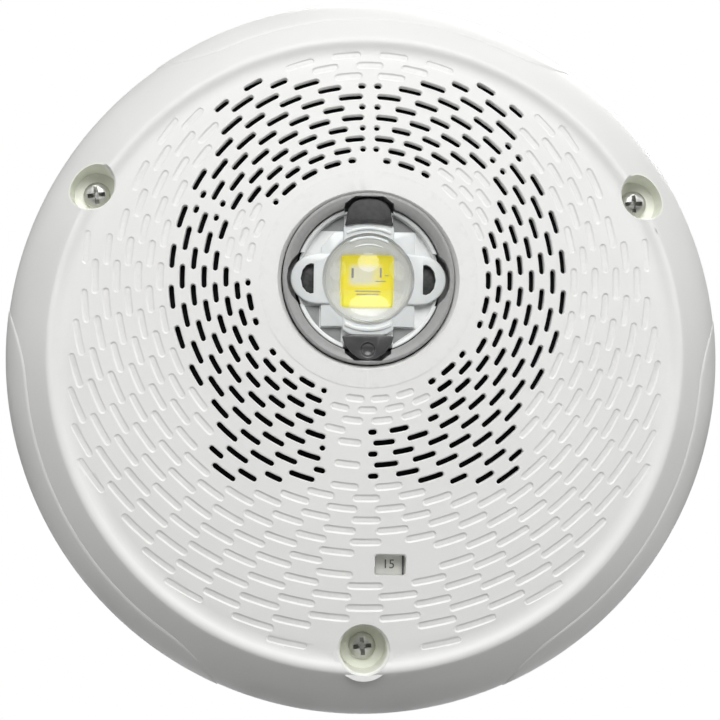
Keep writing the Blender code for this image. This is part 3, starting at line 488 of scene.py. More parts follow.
def buildPhosphor():
    # yellow phosphor, brighter along the lower edge, with a pale die in the middle and a faint painted glow
    phosphor = {
        "surface": (420.0, 3600.0, 0.2),
        "middle": (0.0004, (lensY + 1.1) * mm),
        "dieAcross": (2.2 * mm, 3.4 * mm),
        "dieHigh": (1.2 * mm, 2.3 * mm),
        "patches": (0.0, 0.5, 0.45, 1.0),
        "edge": (-3.2 * mm, -4.4 * mm),
        "yellow": (0.98, 0.84, 0.03),
        "edgeYellow": (0.99, 0.93, 0.01),
        "mottled": (0.96, 0.78, 0.12),
        "die": (0.80, 0.80, 0.72),
        # colour of the painted glow
        "glow": (1.0, 0.86, 0.02),
    }
    material, tree, shader, place = startMaterial("led_yellow_look")
    scale, grain, height = phosphor["surface"]
    surface = addGroup(tree, surfaceGroup, place, Mottle_Scale=scale, Grain_Scale=grain, Grain_Height=height)
    axes = splitAxes(tree, place)
    across = mathNode(tree, "ABSOLUTE", mathNode(tree, "ADD", axes["X"], phosphor["middle"][0]))
    up = mathNode(tree, "SUBTRACT", axes["Z"], phosphor["middle"][1])
    inside = mathNode(
        tree,
        "MULTIPLY",
        mapRange(tree, across, *phosphor["dieAcross"], 1.0, 0.0),
        mapRange(tree, mathNode(tree, "ABSOLUTE", up), *phosphor["dieHigh"], 1.0, 0.0),
    )
    patches = mathNode(tree, "MULTIPLY", inside, mapRange(tree, surface["Mottle"], *phosphor["patches"]), True)
    yellow = mixColour(tree, mapRange(tree, up, *phosphor["edge"]), phosphor["yellow"], phosphor["edgeYellow"])
    yellow = mixColour(tree, mathNode(tree, "MULTIPLY", surface["Mottle"], 0.4), yellow, phosphor["mottled"])
    feed(tree, shader["Base Color"], mixColour(tree, patches, yellow, phosphor["die"]))
    feed(tree, shader["Roughness"], mapRange(tree, surface["Mottle"], 0.0, 1.0, 0.3, 0.5))
    feed(tree, shader["Normal"], surface["Normal"])
    shader["Specular IOR Level"].default_value = 0.3
    # painted glow: a faint yellow emission though the light is off
    feed(tree, shader["Emission Color"], phosphor["glow"])
    shader["Emission Strength"].default_value = 0.16
    return material


def buildCloth():
    # woven spider cloth: crossed waves with threads picked out by the bump
    cloth = {
        "scale": 700.0, "distortion": 0.6, "dark": (0.22, 0.13, 0.04), "pale": (0.52, 0.36, 0.15), "bump": (0.5, 0.0001)
    }
    material, tree, shader, place = startMaterial("spider_cloth_look")
    waves = []
    for direction in ("X", "Z"):
        wave = tree.nodes.new("ShaderNodeTexWave")
        wave.bands_direction = direction
        for title, value in (("Vector", place), ("Scale", cloth["scale"]), ("Distortion", cloth["distortion"])):
            feed(tree, wave.inputs[title], value)
        waves.append(wave.outputs["Fac"])
    weave = mathNode(tree, "MULTIPLY", *waves)
    feed(tree, shader["Base Color"], mixColour(tree, weave, cloth["dark"], cloth["pale"]))
    feed(tree, shader["Normal"], bumpNode(tree, weave, *cloth["bump"]))
    feed(tree, shader["Roughness"], mapRange(tree, weave, 0.0, 1.0, 0.7, 0.9))
    return material


materials["lens_clear"] = buildGlass()
materials["led_yellow"] = buildPhosphor()
materials["spider_cloth"] = buildCloth()

# CAD nodes that stay take the same finishes through their own slots
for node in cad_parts.values():
    for holder in node.material_slots:
        slotTitle = holder.material.name.split(".")[0]
        if slotTitle in materials:
            holder.material = materials[slotTitle]
print("materials ready")

cover = {
    "edgeHeight": 17.2,
    "domeRise": 5.6,
    "domeRadius": 70.6,
    "domeStep": 2.9,
    "domeRings": 24,
    "domeEnd": 68.6,
    # the valley round the dome and the lip outside it
    "lip": (
        (69.6, 17.25), (70.4, 17.12), (71.2, 17.1), (71.9, 17.2), (72.4, 17.38),
        (72.9, 17.58), (73.4, 17.7), (73.9, 17.69), (74.4, 17.54), (74.75, 17.28),
    ),
    "lipRadius": 74.8,
    "skirtWidth": 11.7,
    "skirtDrop": 16.8,
    "skirtStraight": 0.35,
    "skirtSteps": 16,
    "wall": 2.2,
    "foot": (84.6, 0.4),
    "innerSkirt": (2.1, 0.8),
    "innerLip": (73.0, 15.2),
    "innerRadii": (68, 56, 42, 28, 14, 0),
    "steps": 192,
    "smooth": 24,
}
screwHead = {"radius": 3.2, "height": 2.2, "shank": 1.7}
wells = {side: centreOf("cover_screw_" + side) for side in ("left", "right", "bottom")}
wellSeats = {side: levelsOf("cover_screw_" + side)[1] - screwHead["height"] for side in wells}
well = {
    "radius": 5.6,
    "walls": {"left": 2.9, "right": 2.9, "bottom": 1.5},
    "tops": {"left": 21.5, "right": 21.5, "bottom": 17.25},
    "lean": {"left": (-0.6, 1.3), "right": (1.2, 1.0), "bottom": (0.0, 0.2)},
    "leanTop": 16.5,
    "floor": 1.7,
    "hole": 1.9,
    # (out from the radius, z) above the seat
    "mouth": ((0.5, 24), (0.5, 16.6), (0.0, 16.0)),
    "taper": 0.15,
    "steps": 56,
    # the painted light on the well walls: its pale green, how far out from the bore it fades, and the depths it fades
    # over
    "colour": (0.955, 0.97, 0.885),
    "lightFade": (0.2, 0.45),
    "lightDepth": (16.4, 15.9),
}


def tintWells():
    # painted light: the wells' walls are painted paler and slightly green, for the light that comes through the thin
    # plastic there
    tree = materials["white_cover"].node_tree
    colourInput = tree.nodes["Principled BSDF"].inputs["Base Color"]
    base = colourInput.links[0].from_socket
    axes = splitAxes(tree, tree.nodes.new("ShaderNodeTexCoord").outputs["Object"])
    inside = 0.0
    for side, (x, y, _) in wells.items():
        share = mapRange(tree, axes["Y"], -wellSeats[side] * mm, -well["leanTop"] * mm)
        squares = []
        for axis, middle, lean in (("X", x, well["lean"][side][0]), ("Z", y, well["lean"][side][1])):
            centre = mathNode(tree, "ADD", mathNode(tree, "MULTIPLY", share, lean * mm), middle * mm)
            offset = mathNode(tree, "SUBTRACT", axes[axis], centre)
            squares.append(mathNode(tree, "MULTIPLY", offset, offset))
        distance = mathNode(tree, "SQRT", mathNode(tree, "ADD", *squares))
        ring = mapRange(tree, distance, *((well["radius"] + out) * mm for out in well["lightFade"]), 1.0, 0.0)
        below = mapRange(tree, axes["Y"], *(-depth * mm for depth in well["lightDepth"]))
        inside = mathNode(tree, "MAXIMUM", inside, mathNode(tree, "MULTIPLY", ring, below))
    # painted light: the pale green is mixed over the base colour on the well walls
    feed(tree, colourInput, mixColour(tree, inside, base, well["colour"]))


tintWells()

windowLook = {
    "x": 5.8,
    "y": -49.3,
    "width": 7.2,
    "height": 4.7,
    "corner": 0.5,
    "clear": (2.2, 1.6),
    # (out from the sides, above the face), then down to the bottom of the cut
    "flare": ((0.5, 0.4), (0.12, 0.0), (0.0, -0.35)),
    "bottom": 5.0,
}
slotLook = {
    "pitch": 2.54,
    "first": 11,
    "last": 34,
    "lastOpen": 25,
    "perRing": 30,
    "even": 5.47,
    "odd": 5.95,
    "openHalf": 0.6,
    "blindHalf": 0.78,
    "openRadius": 47.0,
    "openWidth": 36.2,
    "openHeight": 47.0,
    "reach": 70.3,
    "endReach": 71.3,
    "endMargin": 1.2,
    "wellMargin": 1.2,
    "ribs": (42, 90, 156),
    "ribHalf": 0.95,
    "discs": ((-24, 8, 9.3), (21, 18, 9.2)),
    "boxes": ((-9.5, 14, -34, -20), (-9.5, 0.2, -47, -34)),
    "ears": ((0, 25.5), (-22.1, -12.75), (22.1, -12.75)),
    "earRadius": 3.8,
    "openFlare": ((0.52, 0.26), (0.24, 0.0), (0.07, -0.14), (0.0, -0.4), (0.0, -8.0)),
    "blindFlare": ((0.40, 0.24), (0.14, 0.0), (0.0, -0.08), (-0.14, -0.22), (-0.32, -0.30)),
    "sideSteps": 3,
    "samples": 40,
    "shortest": 1.7,
    "dot": 0.15,
}


def domeHeight(x, y):
    share = (x * x + y * y) / cover["domeRadius"] ** 2
    return cover["edgeHeight"] + cover["domeRise"] * (1 - share)


def skirtPoint(share):
    straight = cover["skirtStraight"]
    bulge = straight * share + (1 - straight) * math.sin(share * math.pi / 2)
    return cover["lipRadius"] + cover["skirtWidth"] * bulge, cover["edgeHeight"] - cover["skirtDrop"] * share


def outerProfile(skirtRows):
    dome = [cover["domeStep"] * i for i in range(cover["domeRings"])] + [cover["domeEnd"]]
    skirt = [skirtPoint(i / cover["skirtSteps"]) for i in range(1, skirtRows + 1)]
    return [(r, domeHeight(r, 0)) for r in dome] + list(cover["lip"]) + skirt


def coverProfile():
    inset, lower = cover["innerSkirt"]
    rows = [skirtPoint(i / 8) for i in range(7, 0, -1)]
    inner = [cover["foot"]] + [(r - inset, z - lower) for r, z in rows] + [cover["innerLip"]]
    inner += [(r, domeHeight(r, 0) - cover["wall"]) for r in cover["innerRadii"]]
    return outerProfile(cover["skirtSteps"]) + inner


def envelope(raised, lowest):
    # solid inside the outer surface, raised by some millimetres
    outer = [(r, z + raised) for r, z in outerProfile(12)]
    return lathe("envelope", outer + [(outer[-1][0], lowest), (0.0, lowest)], steps=cover["steps"])


def stadium(ring, middle, half, width, offset, height):
    # points round one slot; ring radius about the lens axis, angles in degrees
    radius, count = ring * slotLook["pitch"], slotLook["sideSteps"]
    wide = width + offset
    sweep = [-half + 2 * half * i / count for i in range(count + 1)]
    cap = [(math.sin(t) * wide, math.cos(t) * wide) for t in (math.pi / 4, math.pi / 2, 3 * math.pi / 4)]
    points = [(radius + wide, middle + s, 0.0) for s in sweep]
    points += [(radius + out, middle + half, along) for along, out in cap]
    points += [(radius - wide, middle - s, 0.0) for s in sweep]
    points += [(radius + out, middle - half, -along) for along, out in reversed(cap)]
    placed = []
    for r, angle, along in points:
        turn = math.radians(angle)
        x = r * math.cos(turn) - along * math.sin(turn)
        y = lensY + r * math.sin(turn) + along * math.cos(turn)
        placed.append((x, y, domeHeight(x, y) + height))
    return placed


def openAt(x, y):
    # x and y from the lens axis
    if math.hypot(x, y) > slotLook["openRadius"] and (
        abs(x) > slotLook["openWidth"] or abs(y) > slotLook["openHeight"]
    ):
        return False
    if any(math.hypot(x - a, y - b) < r for a, b, r in slotLook["discs"]):
        return False
    if any(math.hypot(x - a, y - b) < slotLook["earRadius"] for a, b in slotLook["ears"]):
        return False
    if any(x0 <= x <= x1 and y0 <= y <= y1 for x0, x1, y0, y1 in slotLook["boxes"]):
        return False
    for angle in slotLook["ribs"]:
        turn = math.radians(angle)
        along = x * math.cos(turn) + y * math.sin(turn)
        across = y * math.cos(turn) - x * math.sin(turn)
        if along > 0 and abs(across) < slotLook["ribHalf"]:
            return False
    return True


def ringPoint(ring, angle):
    radius, turn = ring * slotLook["pitch"], math.radians(angle)
    return radius * math.cos(turn), lensY + radius * math.sin(turn)


def openStretches(ring, middle, half):
    # open parts of one slot, as centre-line angles for round-ended cuts
    if ring > slotLook["lastOpen"]:
        return []
    cap = math.degrees(slotLook["openHalf"] / (ring * slotLook["pitch"]))
    count = slotLook["samples"]
    start, step = middle - half - cap, 2 * (half + cap) / count
    stretches, begin = [], None
    for i in range(count + 2):
        x, y = ringPoint(ring, start + step * i)
        isOpen = i <= count and openAt(x, y - lensY)
        if isOpen and begin is None:
            begin = i
        if not isOpen and begin is not None:
            low, high = start + step * begin, start + step * (i - 1)
            if high - low > slotLook["shortest"] * cap:
                stretches.append(((low + high) / 2, max((high - low) / 2 - cap, cap * slotLook["dot"])))
            begin = None
    return stretches


def clearOfWells(x, y):
    if any(math.hypot(x - a, y - b) < well["radius"] + slotLook["wellMargin"] for a, b, _ in wells.values()):
        return False
    across = windowLook["width"] / 2 + windowLook["clear"][0]
    high = windowLook["height"] / 2 + windowLook["clear"][1]
    return not (abs(x - windowLook["x"]) < across and abs(y - windowLook["y"]) < high)


def slotCutters():
    # open slots and shallow pockets on rings about the lens, half a pitch apart from ring to ring
    stacks = []
    pitchAngle = 360 // slotLook["perRing"]
    for ring in range(slotLook["first"], slotLook["last"] + 1):
        isEven = ring % 2 == 0
        half = slotLook["even" if isEven else "odd"] / 2
        for number in range(slotLook["perRing"]):
            middle = pitchAngle * number + (pitchAngle // 2 if isEven else 0)
            x, y = ringPoint(ring, middle)
            ends = [ringPoint(ring, middle + s * (half + slotLook["endMargin"])) for s in (-1, 1)]
            if math.hypot(x, y) > slotLook["reach"] or max(math.hypot(*e) for e in ends) > slotLook["endReach"]:
                continue
            if not all(clearOfWells(*p) for p in [(x, y)] + ends):
                continue
            kind, parts = "open", openStretches(ring, middle, half)
            if not parts:
                kind, parts = "blind", [(middle, half)]
            for centre, reach in parts:
                flare = slotLook[kind + "Flare"]
                stacks.append([stadium(ring, centre, reach, slotLook[kind + "Half"], *row) for row in flare])
    return loopPiece("pockets", stacks)


def windowCutter():
    x, y, corner = windowLook["x"], windowLook["y"], windowLook["corner"]
    half, tall = windowLook["width"] / 2, windowLook["height"] / 2
    level = domeHeight(x, y)
    loops = []
    for out, height in [(a, level + b) for a, b in windowLook["flare"]] + [(0.0, windowLook["bottom"])]:
        loop = []
        for sx, sy in ((1, 1), (1, -1), (-1, -1), (-1, 1)):
            cuts = ((corner, 0), (0, corner)) if sx == sy else ((0, corner), (corner, 0))
            loop += [(x + sx * (half + out - cx), y + sy * (tall + out - cy), height) for cx, cy in cuts]
        loops.append(loop)
    return loopPiece("window", [loops])


def wellCutter(side):
    # rounded mouth, then the bore down to the seat; the mouth stands a little off the seat
    seat, radius = wellSeats[side], well["radius"]
    mouth = [(radius + out, z) for out, z in well["mouth"]]
    bore = lathe(
        "bore", [(0, mouth[0][1])] + mouth + [(radius - well["taper"], seat), (0, seat)], steps=well["steps"]
    )
    for vertex in bore.data.vertices:
        share = min(1.0, (vertex.co.z / mm - seat) / (well["leanTop"] - seat))
        vertex.co.x += well["lean"][side][0] * share * mm
        vertex.co.y += well["lean"][side][1] * share * mm
    return moveTo(bore, *wells[side][:2])


def buildCover():
    boss = {"radius": 25.4, "low": 18.5, "raised": 0.10, "mouth": 21.3, "bore": 20.25}
    body = lathe("cover", coverProfile(), steps=cover["steps"])
    for side, (x, y, _) in wells.items():
        seat, radius = wellSeats[side], well["radius"] + well["walls"][side]
        post = cylinder("post", radius, seat - well["floor"], well["tops"][side], (x, y), well["steps"])
        if side != "bottom":
            post = combine(post, envelope(0.0, -1.0), "INTERSECT")
        body = combine(body, post, "UNION")
        body = combine(body, wellCutter(side))
        low = levelsOf("cover_screw_" + side)[0]
        body = combine(body, cylinder("hole", well["hole"], low - 1, seat + 1, (x, y), 24))
    pad = cylinder("boss", boss["radius"], boss["low"], 26, (0, lensY), 120)
    body = combine(body, combine(pad, envelope(boss["raised"], 12.0), "INTERSECT"), "UNION")
    top = domeHeight(0, lensY + 20)
    wide, bore = boss["mouth"], boss["bore"]
    mouth = [
        (0, 30), (wide, 30), (wide - 0.2, top + 0.5), (bore + 0.25, top - 0.15), (bore, top - 0.6), (bore, 5), (0, 5)
    ]
    body = combine(body, lathe("mouth", mouth, (0, lensY), 120))
    body = combine(body, windowCutter())
    body = combine(body, slotCutters())
    smooth(body, cover["smooth"])
    print("cover", len(body.data.polygons), "faces")
    settle(body, "cover", "white_cover", stands=("front_cover",))


def buildScreen():
    # black dust screen close behind the slots, clear of the strobe, the wells and the board
    screen = {
        "gap": 0.2,
        "thick": 0.35,
        "radii": (0, 12, 24, 36, 46, 54, 60, 65, 69),
        "bottom": -38.5,
        "lens": 23.3,
        "well": 8.9,
        "ear": 2.6,
    }
    depth = cover["wall"] + screen["gap"]
    over = [(r, domeHeight(r, 0) - depth) for r in screen["radii"]]
    under = [(r, z - screen["thick"]) for r, z in reversed(over)]
    sheet = lathe("screen", over + under, steps=120)
    sheet = combine(sheet, block("below", (-90, -90, 0), (90, screen["bottom"], 40)))
    sheet = combine(sheet, cylinder("centre", screen["lens"], 5, 30, (0, lensY), 72))
    for side in ("left", "right"):
        sheet = combine(sheet, cylinder("clear", screen["well"], 5, 30, wells[side][:2], 48))
    for x, y in slotLook["ears"]:
        sheet = combine(sheet, cylinder("clear", screen["ear"], 5, 30, (x, y + lensY), 24))
    standIn(smooth(sheet, 30), "dust_screen", "black_screen")


def buildPads():
    # three low pads on the skirt, each with a thin ledge that curves out to the foot at both ends
    pad = {
        "angles": (90, 210, 330),
        "ledge": 80.2,
        "ledgeEnd": 86.3,
        "flat": 24.0,
        "reach": 36.5,
        "curve": 2.2,
        "proud": 0.3,
        "sunk": -0.9,
        "thin": 0.75,
        "lowest": 0.42,
        "across": 64,
        "down": 7,
        # (beyond the start, part of the full height) over the rounded ledge
        "edge": ((0.006, 0.3), (0.02, 0.75)),
        "full": 0.045,
    }
    across, down, proud = pad["across"], pad["down"], pad["proud"]

    def shareAt(radius):
        return next((i / 200 for i in range(201) if skirtPoint(i / 200)[0] >= radius), 1.0)

    for number, middle in enumerate(pad["angles"], 1):
        shape, grid = bmesh.new(), {}
        for i in range(across + 1):
            offset = -pad["reach"] + 2 * pad["reach"] * i / across
            beyond = max(0.0, (abs(offset) - pad["flat"]) / (pad["reach"] - pad["flat"]))
            start = shareAt(pad["ledge"] + (pad["ledgeEnd"] - pad["ledge"]) * beyond ** pad["curve"])
            turn = math.radians(middle + offset)
            # section from inside the wall, over the ledge, down to the foot
            rows = [(start, pad["sunk"]), (start, 0.05)] + [(start + a, b * proud) for a, b in pad["edge"]]
            begin = start + pad["full"]
            rows += [(begin + (1 - begin) * k / down, proud) for k in range(down + 1)] + [(1.0, pad["sunk"])]
            for j, (share, out) in enumerate(rows):
                share = min(1.0, share)
                r, z = skirtPoint(share)
                z += max(out * (1 - pad["thin"] * share), 0.0)
                if out < 0 and share < 0.99:
                    z += pad["sunk"]
                r += out * 0.5
                point = Vector((r * math.cos(turn), r * math.sin(turn), max(z, pad["lowest"])))
                grid[i, j] = shape.verts.new(point * mm)
        count = len(rows)
        for i in range(across):
            for j in range(count):
                k = (j + 1) % count
                shape.faces.new((grid[i, j], grid[i + 1, j], grid[i + 1, k], grid[i, k]))
        shape.faces.new([grid[0, j] for j in range(count)])
        shape.faces.new([grid[across, j] for j in reversed(range(count))])
        settle(smooth(bmeshPiece("pad", shape), 40), f"skirt_pad_{number}", "white_cover")


buildCover()
buildScreen()
buildPads()
print("cover, screen and skirt pads built")


def crossScrew(radius, height, seat, turn):
    # pan head with a rounded top and a Phillips cross
    pan = ((1, 0), (1, 0.45), (0.93, 0.72), (0.76, 0.9), (0.45, 0.98), (0, 1))
    cross = {"long": 0.62, "wide": 0.15}
    head = lathe("head", [(0, seat)] + [(radius * r, seat + height * z) for r, z in pan], steps=40)
    for quarter in (0, 90):
        loops = []
        for grow, z in ((1.25, seat + height + 0.6), (1.0, seat + height * 0.8), (0.45, seat + height * 0.2)):
            x, y = radius * cross["long"] * grow, radius * cross["wide"] * (0.6 + 0.4 * grow)
            loops.append([(x, y, z), (-x, y, z), (-x, -y, z), (x, -y, z)])
        combine(head, moveTo(loopPiece("arm", [loops]), turn=turn + quarter))
    return smooth(head, 28)


def threadedShank(radius, low, high, pitch=0.8):
    root = radius * 0.78
    profile, z = [(0, low)], low
    while z < high - pitch:
        profile += [(root, z), (radius, z + pitch / 2)]
        z += pitch
    return lathe("shank", profile + [(root, z), (root, high), (0, high)], steps=20)


def buildCoverScrews():
    turns = {"left": 8, "right": 3, "bottom": 5}
    for side, (x, y, _) in wells.items():
        node, seat = "cover_screw_" + side, wellSeats[side]
        head = moveTo(crossScrew(screwHead["radius"], screwHead["height"], seat, turns[side]), x, y)
        shank = moveTo(threadedShank(screwHead["shank"], levelsOf(node)[0], seat), x, y)
        standIn(join("screw", [head, smooth(shank, 25)]), node, "screw_zinc")


def buildBackScrews():
    # screws whose heads face the wall
    kinds = {
        "module_screw_": {"count": 3, "radius": 2.3, "height": 1.6, "shank": 1.1, "turn": 20, "smooth": True},
        "speaker_screw_": {"count": 4, "radius": 2.5, "height": 1.5, "shank": 1.2, "turn": 33, "smooth": False},
    }
    for title, kind in kinds.items():
        for number in range(1, kind["count"] + 1):
            node, height = title + str(number), kind["height"]
            x, y, _ = centreOf(node)
            low, high = levelsOf(node)
            head = crossScrew(kind["radius"], height, 0, kind["turn"] * number)
            head.data.transform(Matrix.Diagonal((1, 1, -1, 1)))
            moveTo(fixNormals(head), x, y, low + height)
            shank = moveTo(threadedShank(kind["shank"], low + height, high, 0.6), x, y)
            if kind["smooth"]:
                smooth(shank, 25)
            standIn(join("screw", [head, shank]), node, "screw_zinc")


buildCoverScrews()
buildBackScrews()
print("screws built")

strobe = {
    "seat": levelsOf("strobe_lens")[0] + 1.2,
    "top": levelsOf("strobe_lens")[1],
    "bezelLow": levelsOf("bezel_ring")[0],
    "bezelTop": levelsOf("bezel_ring")[1],
    "boardLow": levelsOf("led_board")[0],
    "boardTop": levelsOf("led_board")[1],
    "ledTop": levelsOf("led_chip")[1],
    "base": 11.0,
    "steps": 96,
}


def sector(inner, outer, low, high, start, end, steps=24):
    # part of a ring about the lens axis, angles in degrees
    points, faces = [], []
    for i in range(steps + 1):
        turn = math.radians(start + (end - start) * i / steps)
        for r, z in ((inner, low), (outer, low), (outer, high), (inner, high)):
            points.append((r * math.cos(turn), r * math.sin(turn) + lensY, z))
    for i in range(steps):
        for j in range(4):
            k = (j + 1) % 4
            faces.append((4 * i + j, 4 * i + 4 + j, 4 * i + 4 + k, 4 * i + k))
    faces += [(0, 1, 2, 3), (4 * steps + 3, 4 * steps + 2, 4 * steps + 1, 4 * steps)]
    return fixNormals(meshPiece("sector", points, faces))


def prism(name, outline, low, high):
    # outline about the lens axis
    count = len(outline)
    points = [(x, y + lensY, z) for z in (low, high) for x, y in outline]
    faces = [tuple(range(count)), tuple(range(count, 2 * count))]
    faces += [(i, (i + 1) % count, count + (i + 1) % count, count + i) for i in range(count)]
    return fixNormals(meshPiece(name, points, faces))


def sideBlock(side, near, far, half, low, high):
    # block on one side of the lens axis
    x0, x1 = sorted((side * near, side * far))
    return block("side", (x0, lensY - half, low), (x1, lensY + half, high))


def mirrored(outline, side, axis=0):
    # the outline, or its mirror image across the lens axis with the same winding
    if side > 0:
        return list(outline)
    return [(-x, y) if axis == 0 else (x, -y) for x, y in reversed(outline)]


def buildBezel():
    bezel = {
        "low": 4.5,
        "clear": 3,
        # (radius, from the top) round the upper edge
        "edge": ((19.95, -0.5), (19.75, -0.18), (19.3, 0), (18.6, -0.12), (17.7, -0.75), (17.3, -1.2)),
        "inner": 17.3,
        "outer": 19.95,
        "earReach": 18.95,
        "earHalf": 6.9,
        "earCorner": 7.0,
        "clipHalves": {1: 6.6, -1: 6.2},
        "clipPath": ((1.0, 10), (0.86, 17.4), (0.5, 19.1)),
    }
    low, top = strobe["bezelLow"], strobe["bezelTop"]
    section = [(bezel["inner"], low), (bezel["outer"], low)] + [(r, top + z) for r, z in bezel["edge"]]
    ring = lathe("bezel", section, (0, lensY), 144)
    under, over = low + bezel["low"], top + bezel["clear"]
    centre, half = bezel["earReach"] - bezel["earCorner"], bezel["earHalf"]
    ear = [(0, -half), (centre, -half)]
    for t in [math.radians(-72 + 18 * i) for i in range(9)]:
        ear.append((centre + bezel["earCorner"] * math.cos(t) ** 0.8, half * math.sin(t)))
    ear += [(centre, half), (0, half)]
    for side in (-1, 1):
        ring = combine(ring, prism("notch", mirrored(ear, side), under, over))
    for side, half in bezel["clipHalves"].items():
        near = [(half * wide, side * y) for wide, y in bezel["clipPath"]]
        notch = [(-x, y) for x, y in near[:1]] + near + [(-x, y) for x, y in reversed(near[1:])]
        ring = combine(ring, prism("notch", notch, under, over))
    settle(smooth(ring, 28), "bezel", "bezel_grey", stands=("bezel_ring",))


def buildTray():
    # grey tray with a pale square seat and a bowl down to the light source
    tray = {
        "facets": (
            ((-11.2, 11.35), (-5.7, 11.35), (-5.7, 15.4)),
            ((5.7, 11.35), (11.2, 11.35), (5.7, 15.4)),
            (
                (-14.9, -6.2), (-12.9, -10.0), (-10.0, -12.9), (-6.2, -14.9), (-6.2, -11.3), (-11.3, -11.3), (-11.3, -6.2)
            ),
            ((6.0, -14.9), (6.0, -11.3), (11.2, -11.3)),
        ),
        "facetLevels": (-2.2, -1.6),
        "shadow": (12.2, 16.0, 3.9),
        "shadowLevels": (-2.0, -1.3),
        "padLevels": (-1.9, -1.35),
        "corners": (3.2, 3.6),
        "rim": ((16.1, -1.0), (17.05, -1.0), (17.05, 0.35), (16.85, 0.55), (16.4, 0.5), (16.1, 0.2)),
        "clipGap": 5.7,
        "earGap": (12, 20, 6.1),
    }
    seat, led, floor = strobe["seat"], strobe["ledTop"], strobe["boardTop"] + 0.1
    axis, steps = (0, lensY), strobe["steps"]
    section = [(7.2, floor), (16.7, floor), (16.7, seat - 1.0), (16.2, seat - 1.0), (15.9, seat - 1.7)]
    section += [(10.8, seat - 1.7), (7.2, floor + 2.0)]
    piece = smooth(lathe("tray", section, axis, steps), 28)
    settle(piece, "reflector_tray", "tray_white", "reflector_silver", stands=("reflector",))
    low, high = (seat + z for z in tray["facetLevels"])
    for number, shape in enumerate(tray["facets"], 1):
        patch = bevelEdges(prism("patch", shape, low, high), 0.08)
        settle(smooth(patch), f"tray_facet_{number}", "reflector_silver")
    low, high = (seat + z for z in tray["shadowLevels"])
    for number, side in ((1, -1), (2, 1)):
        dark = bevelEdges(sideBlock(side, *tray["shadow"], low, high), 0.1)
        settle(smooth(dark), f"ear_shadow_{number}", "black_plastic")
    half, (cutX, cutY) = strobe["base"] + 0.1, tray["corners"]
    square = [(half, -half), (half, half), (-half + cutX, half), (-half, half - cutY), (-half, -half)]
    pad = prism("seat", square, *(seat + z for z in tray["padLevels"]))
    bowl = [(0, seat + 2), (9.9, seat + 2), (9.7, seat - 1.2), (6.9, led - 0.2), (0, led - 0.2)]
    pad = combine(pad, lathe("bowl", bowl, axis, 72))
    settle(smooth(bevelEdges(pad, 0.12)), "lens_seat_pad", "tray_white", "reflector_silver")
    cup = [(0, led - 0.9), (6.95, led - 0.45), (9.6, seat - 1.9), (10.0, seat - 1.9), (7.3, floor), (0, floor)]
    settle(smooth(lathe("cup", cup, axis, 72), 60), "reflector_cup", "tray_white", "reflector_silver")
    ring = lathe("rim", [(r, seat + z) for r, z in tray["rim"]], axis, 120)
    low, high, gap = seat - 4, seat + 4, tray["clipGap"]
    for side in (1, -1):
        ends = sorted((side * 10, side * 20))
        ring = combine(
            ring, prism("gap", [(-gap, ends[0]), (gap, ends[0]), (gap, ends[1]), (-gap, ends[1])], low, high)
        )
        ring = combine(ring, sideBlock(side, *tray["earGap"], low, high))
    settle(smooth(ring, 30), "lens_rim", "tray_white", "reflector_silver")


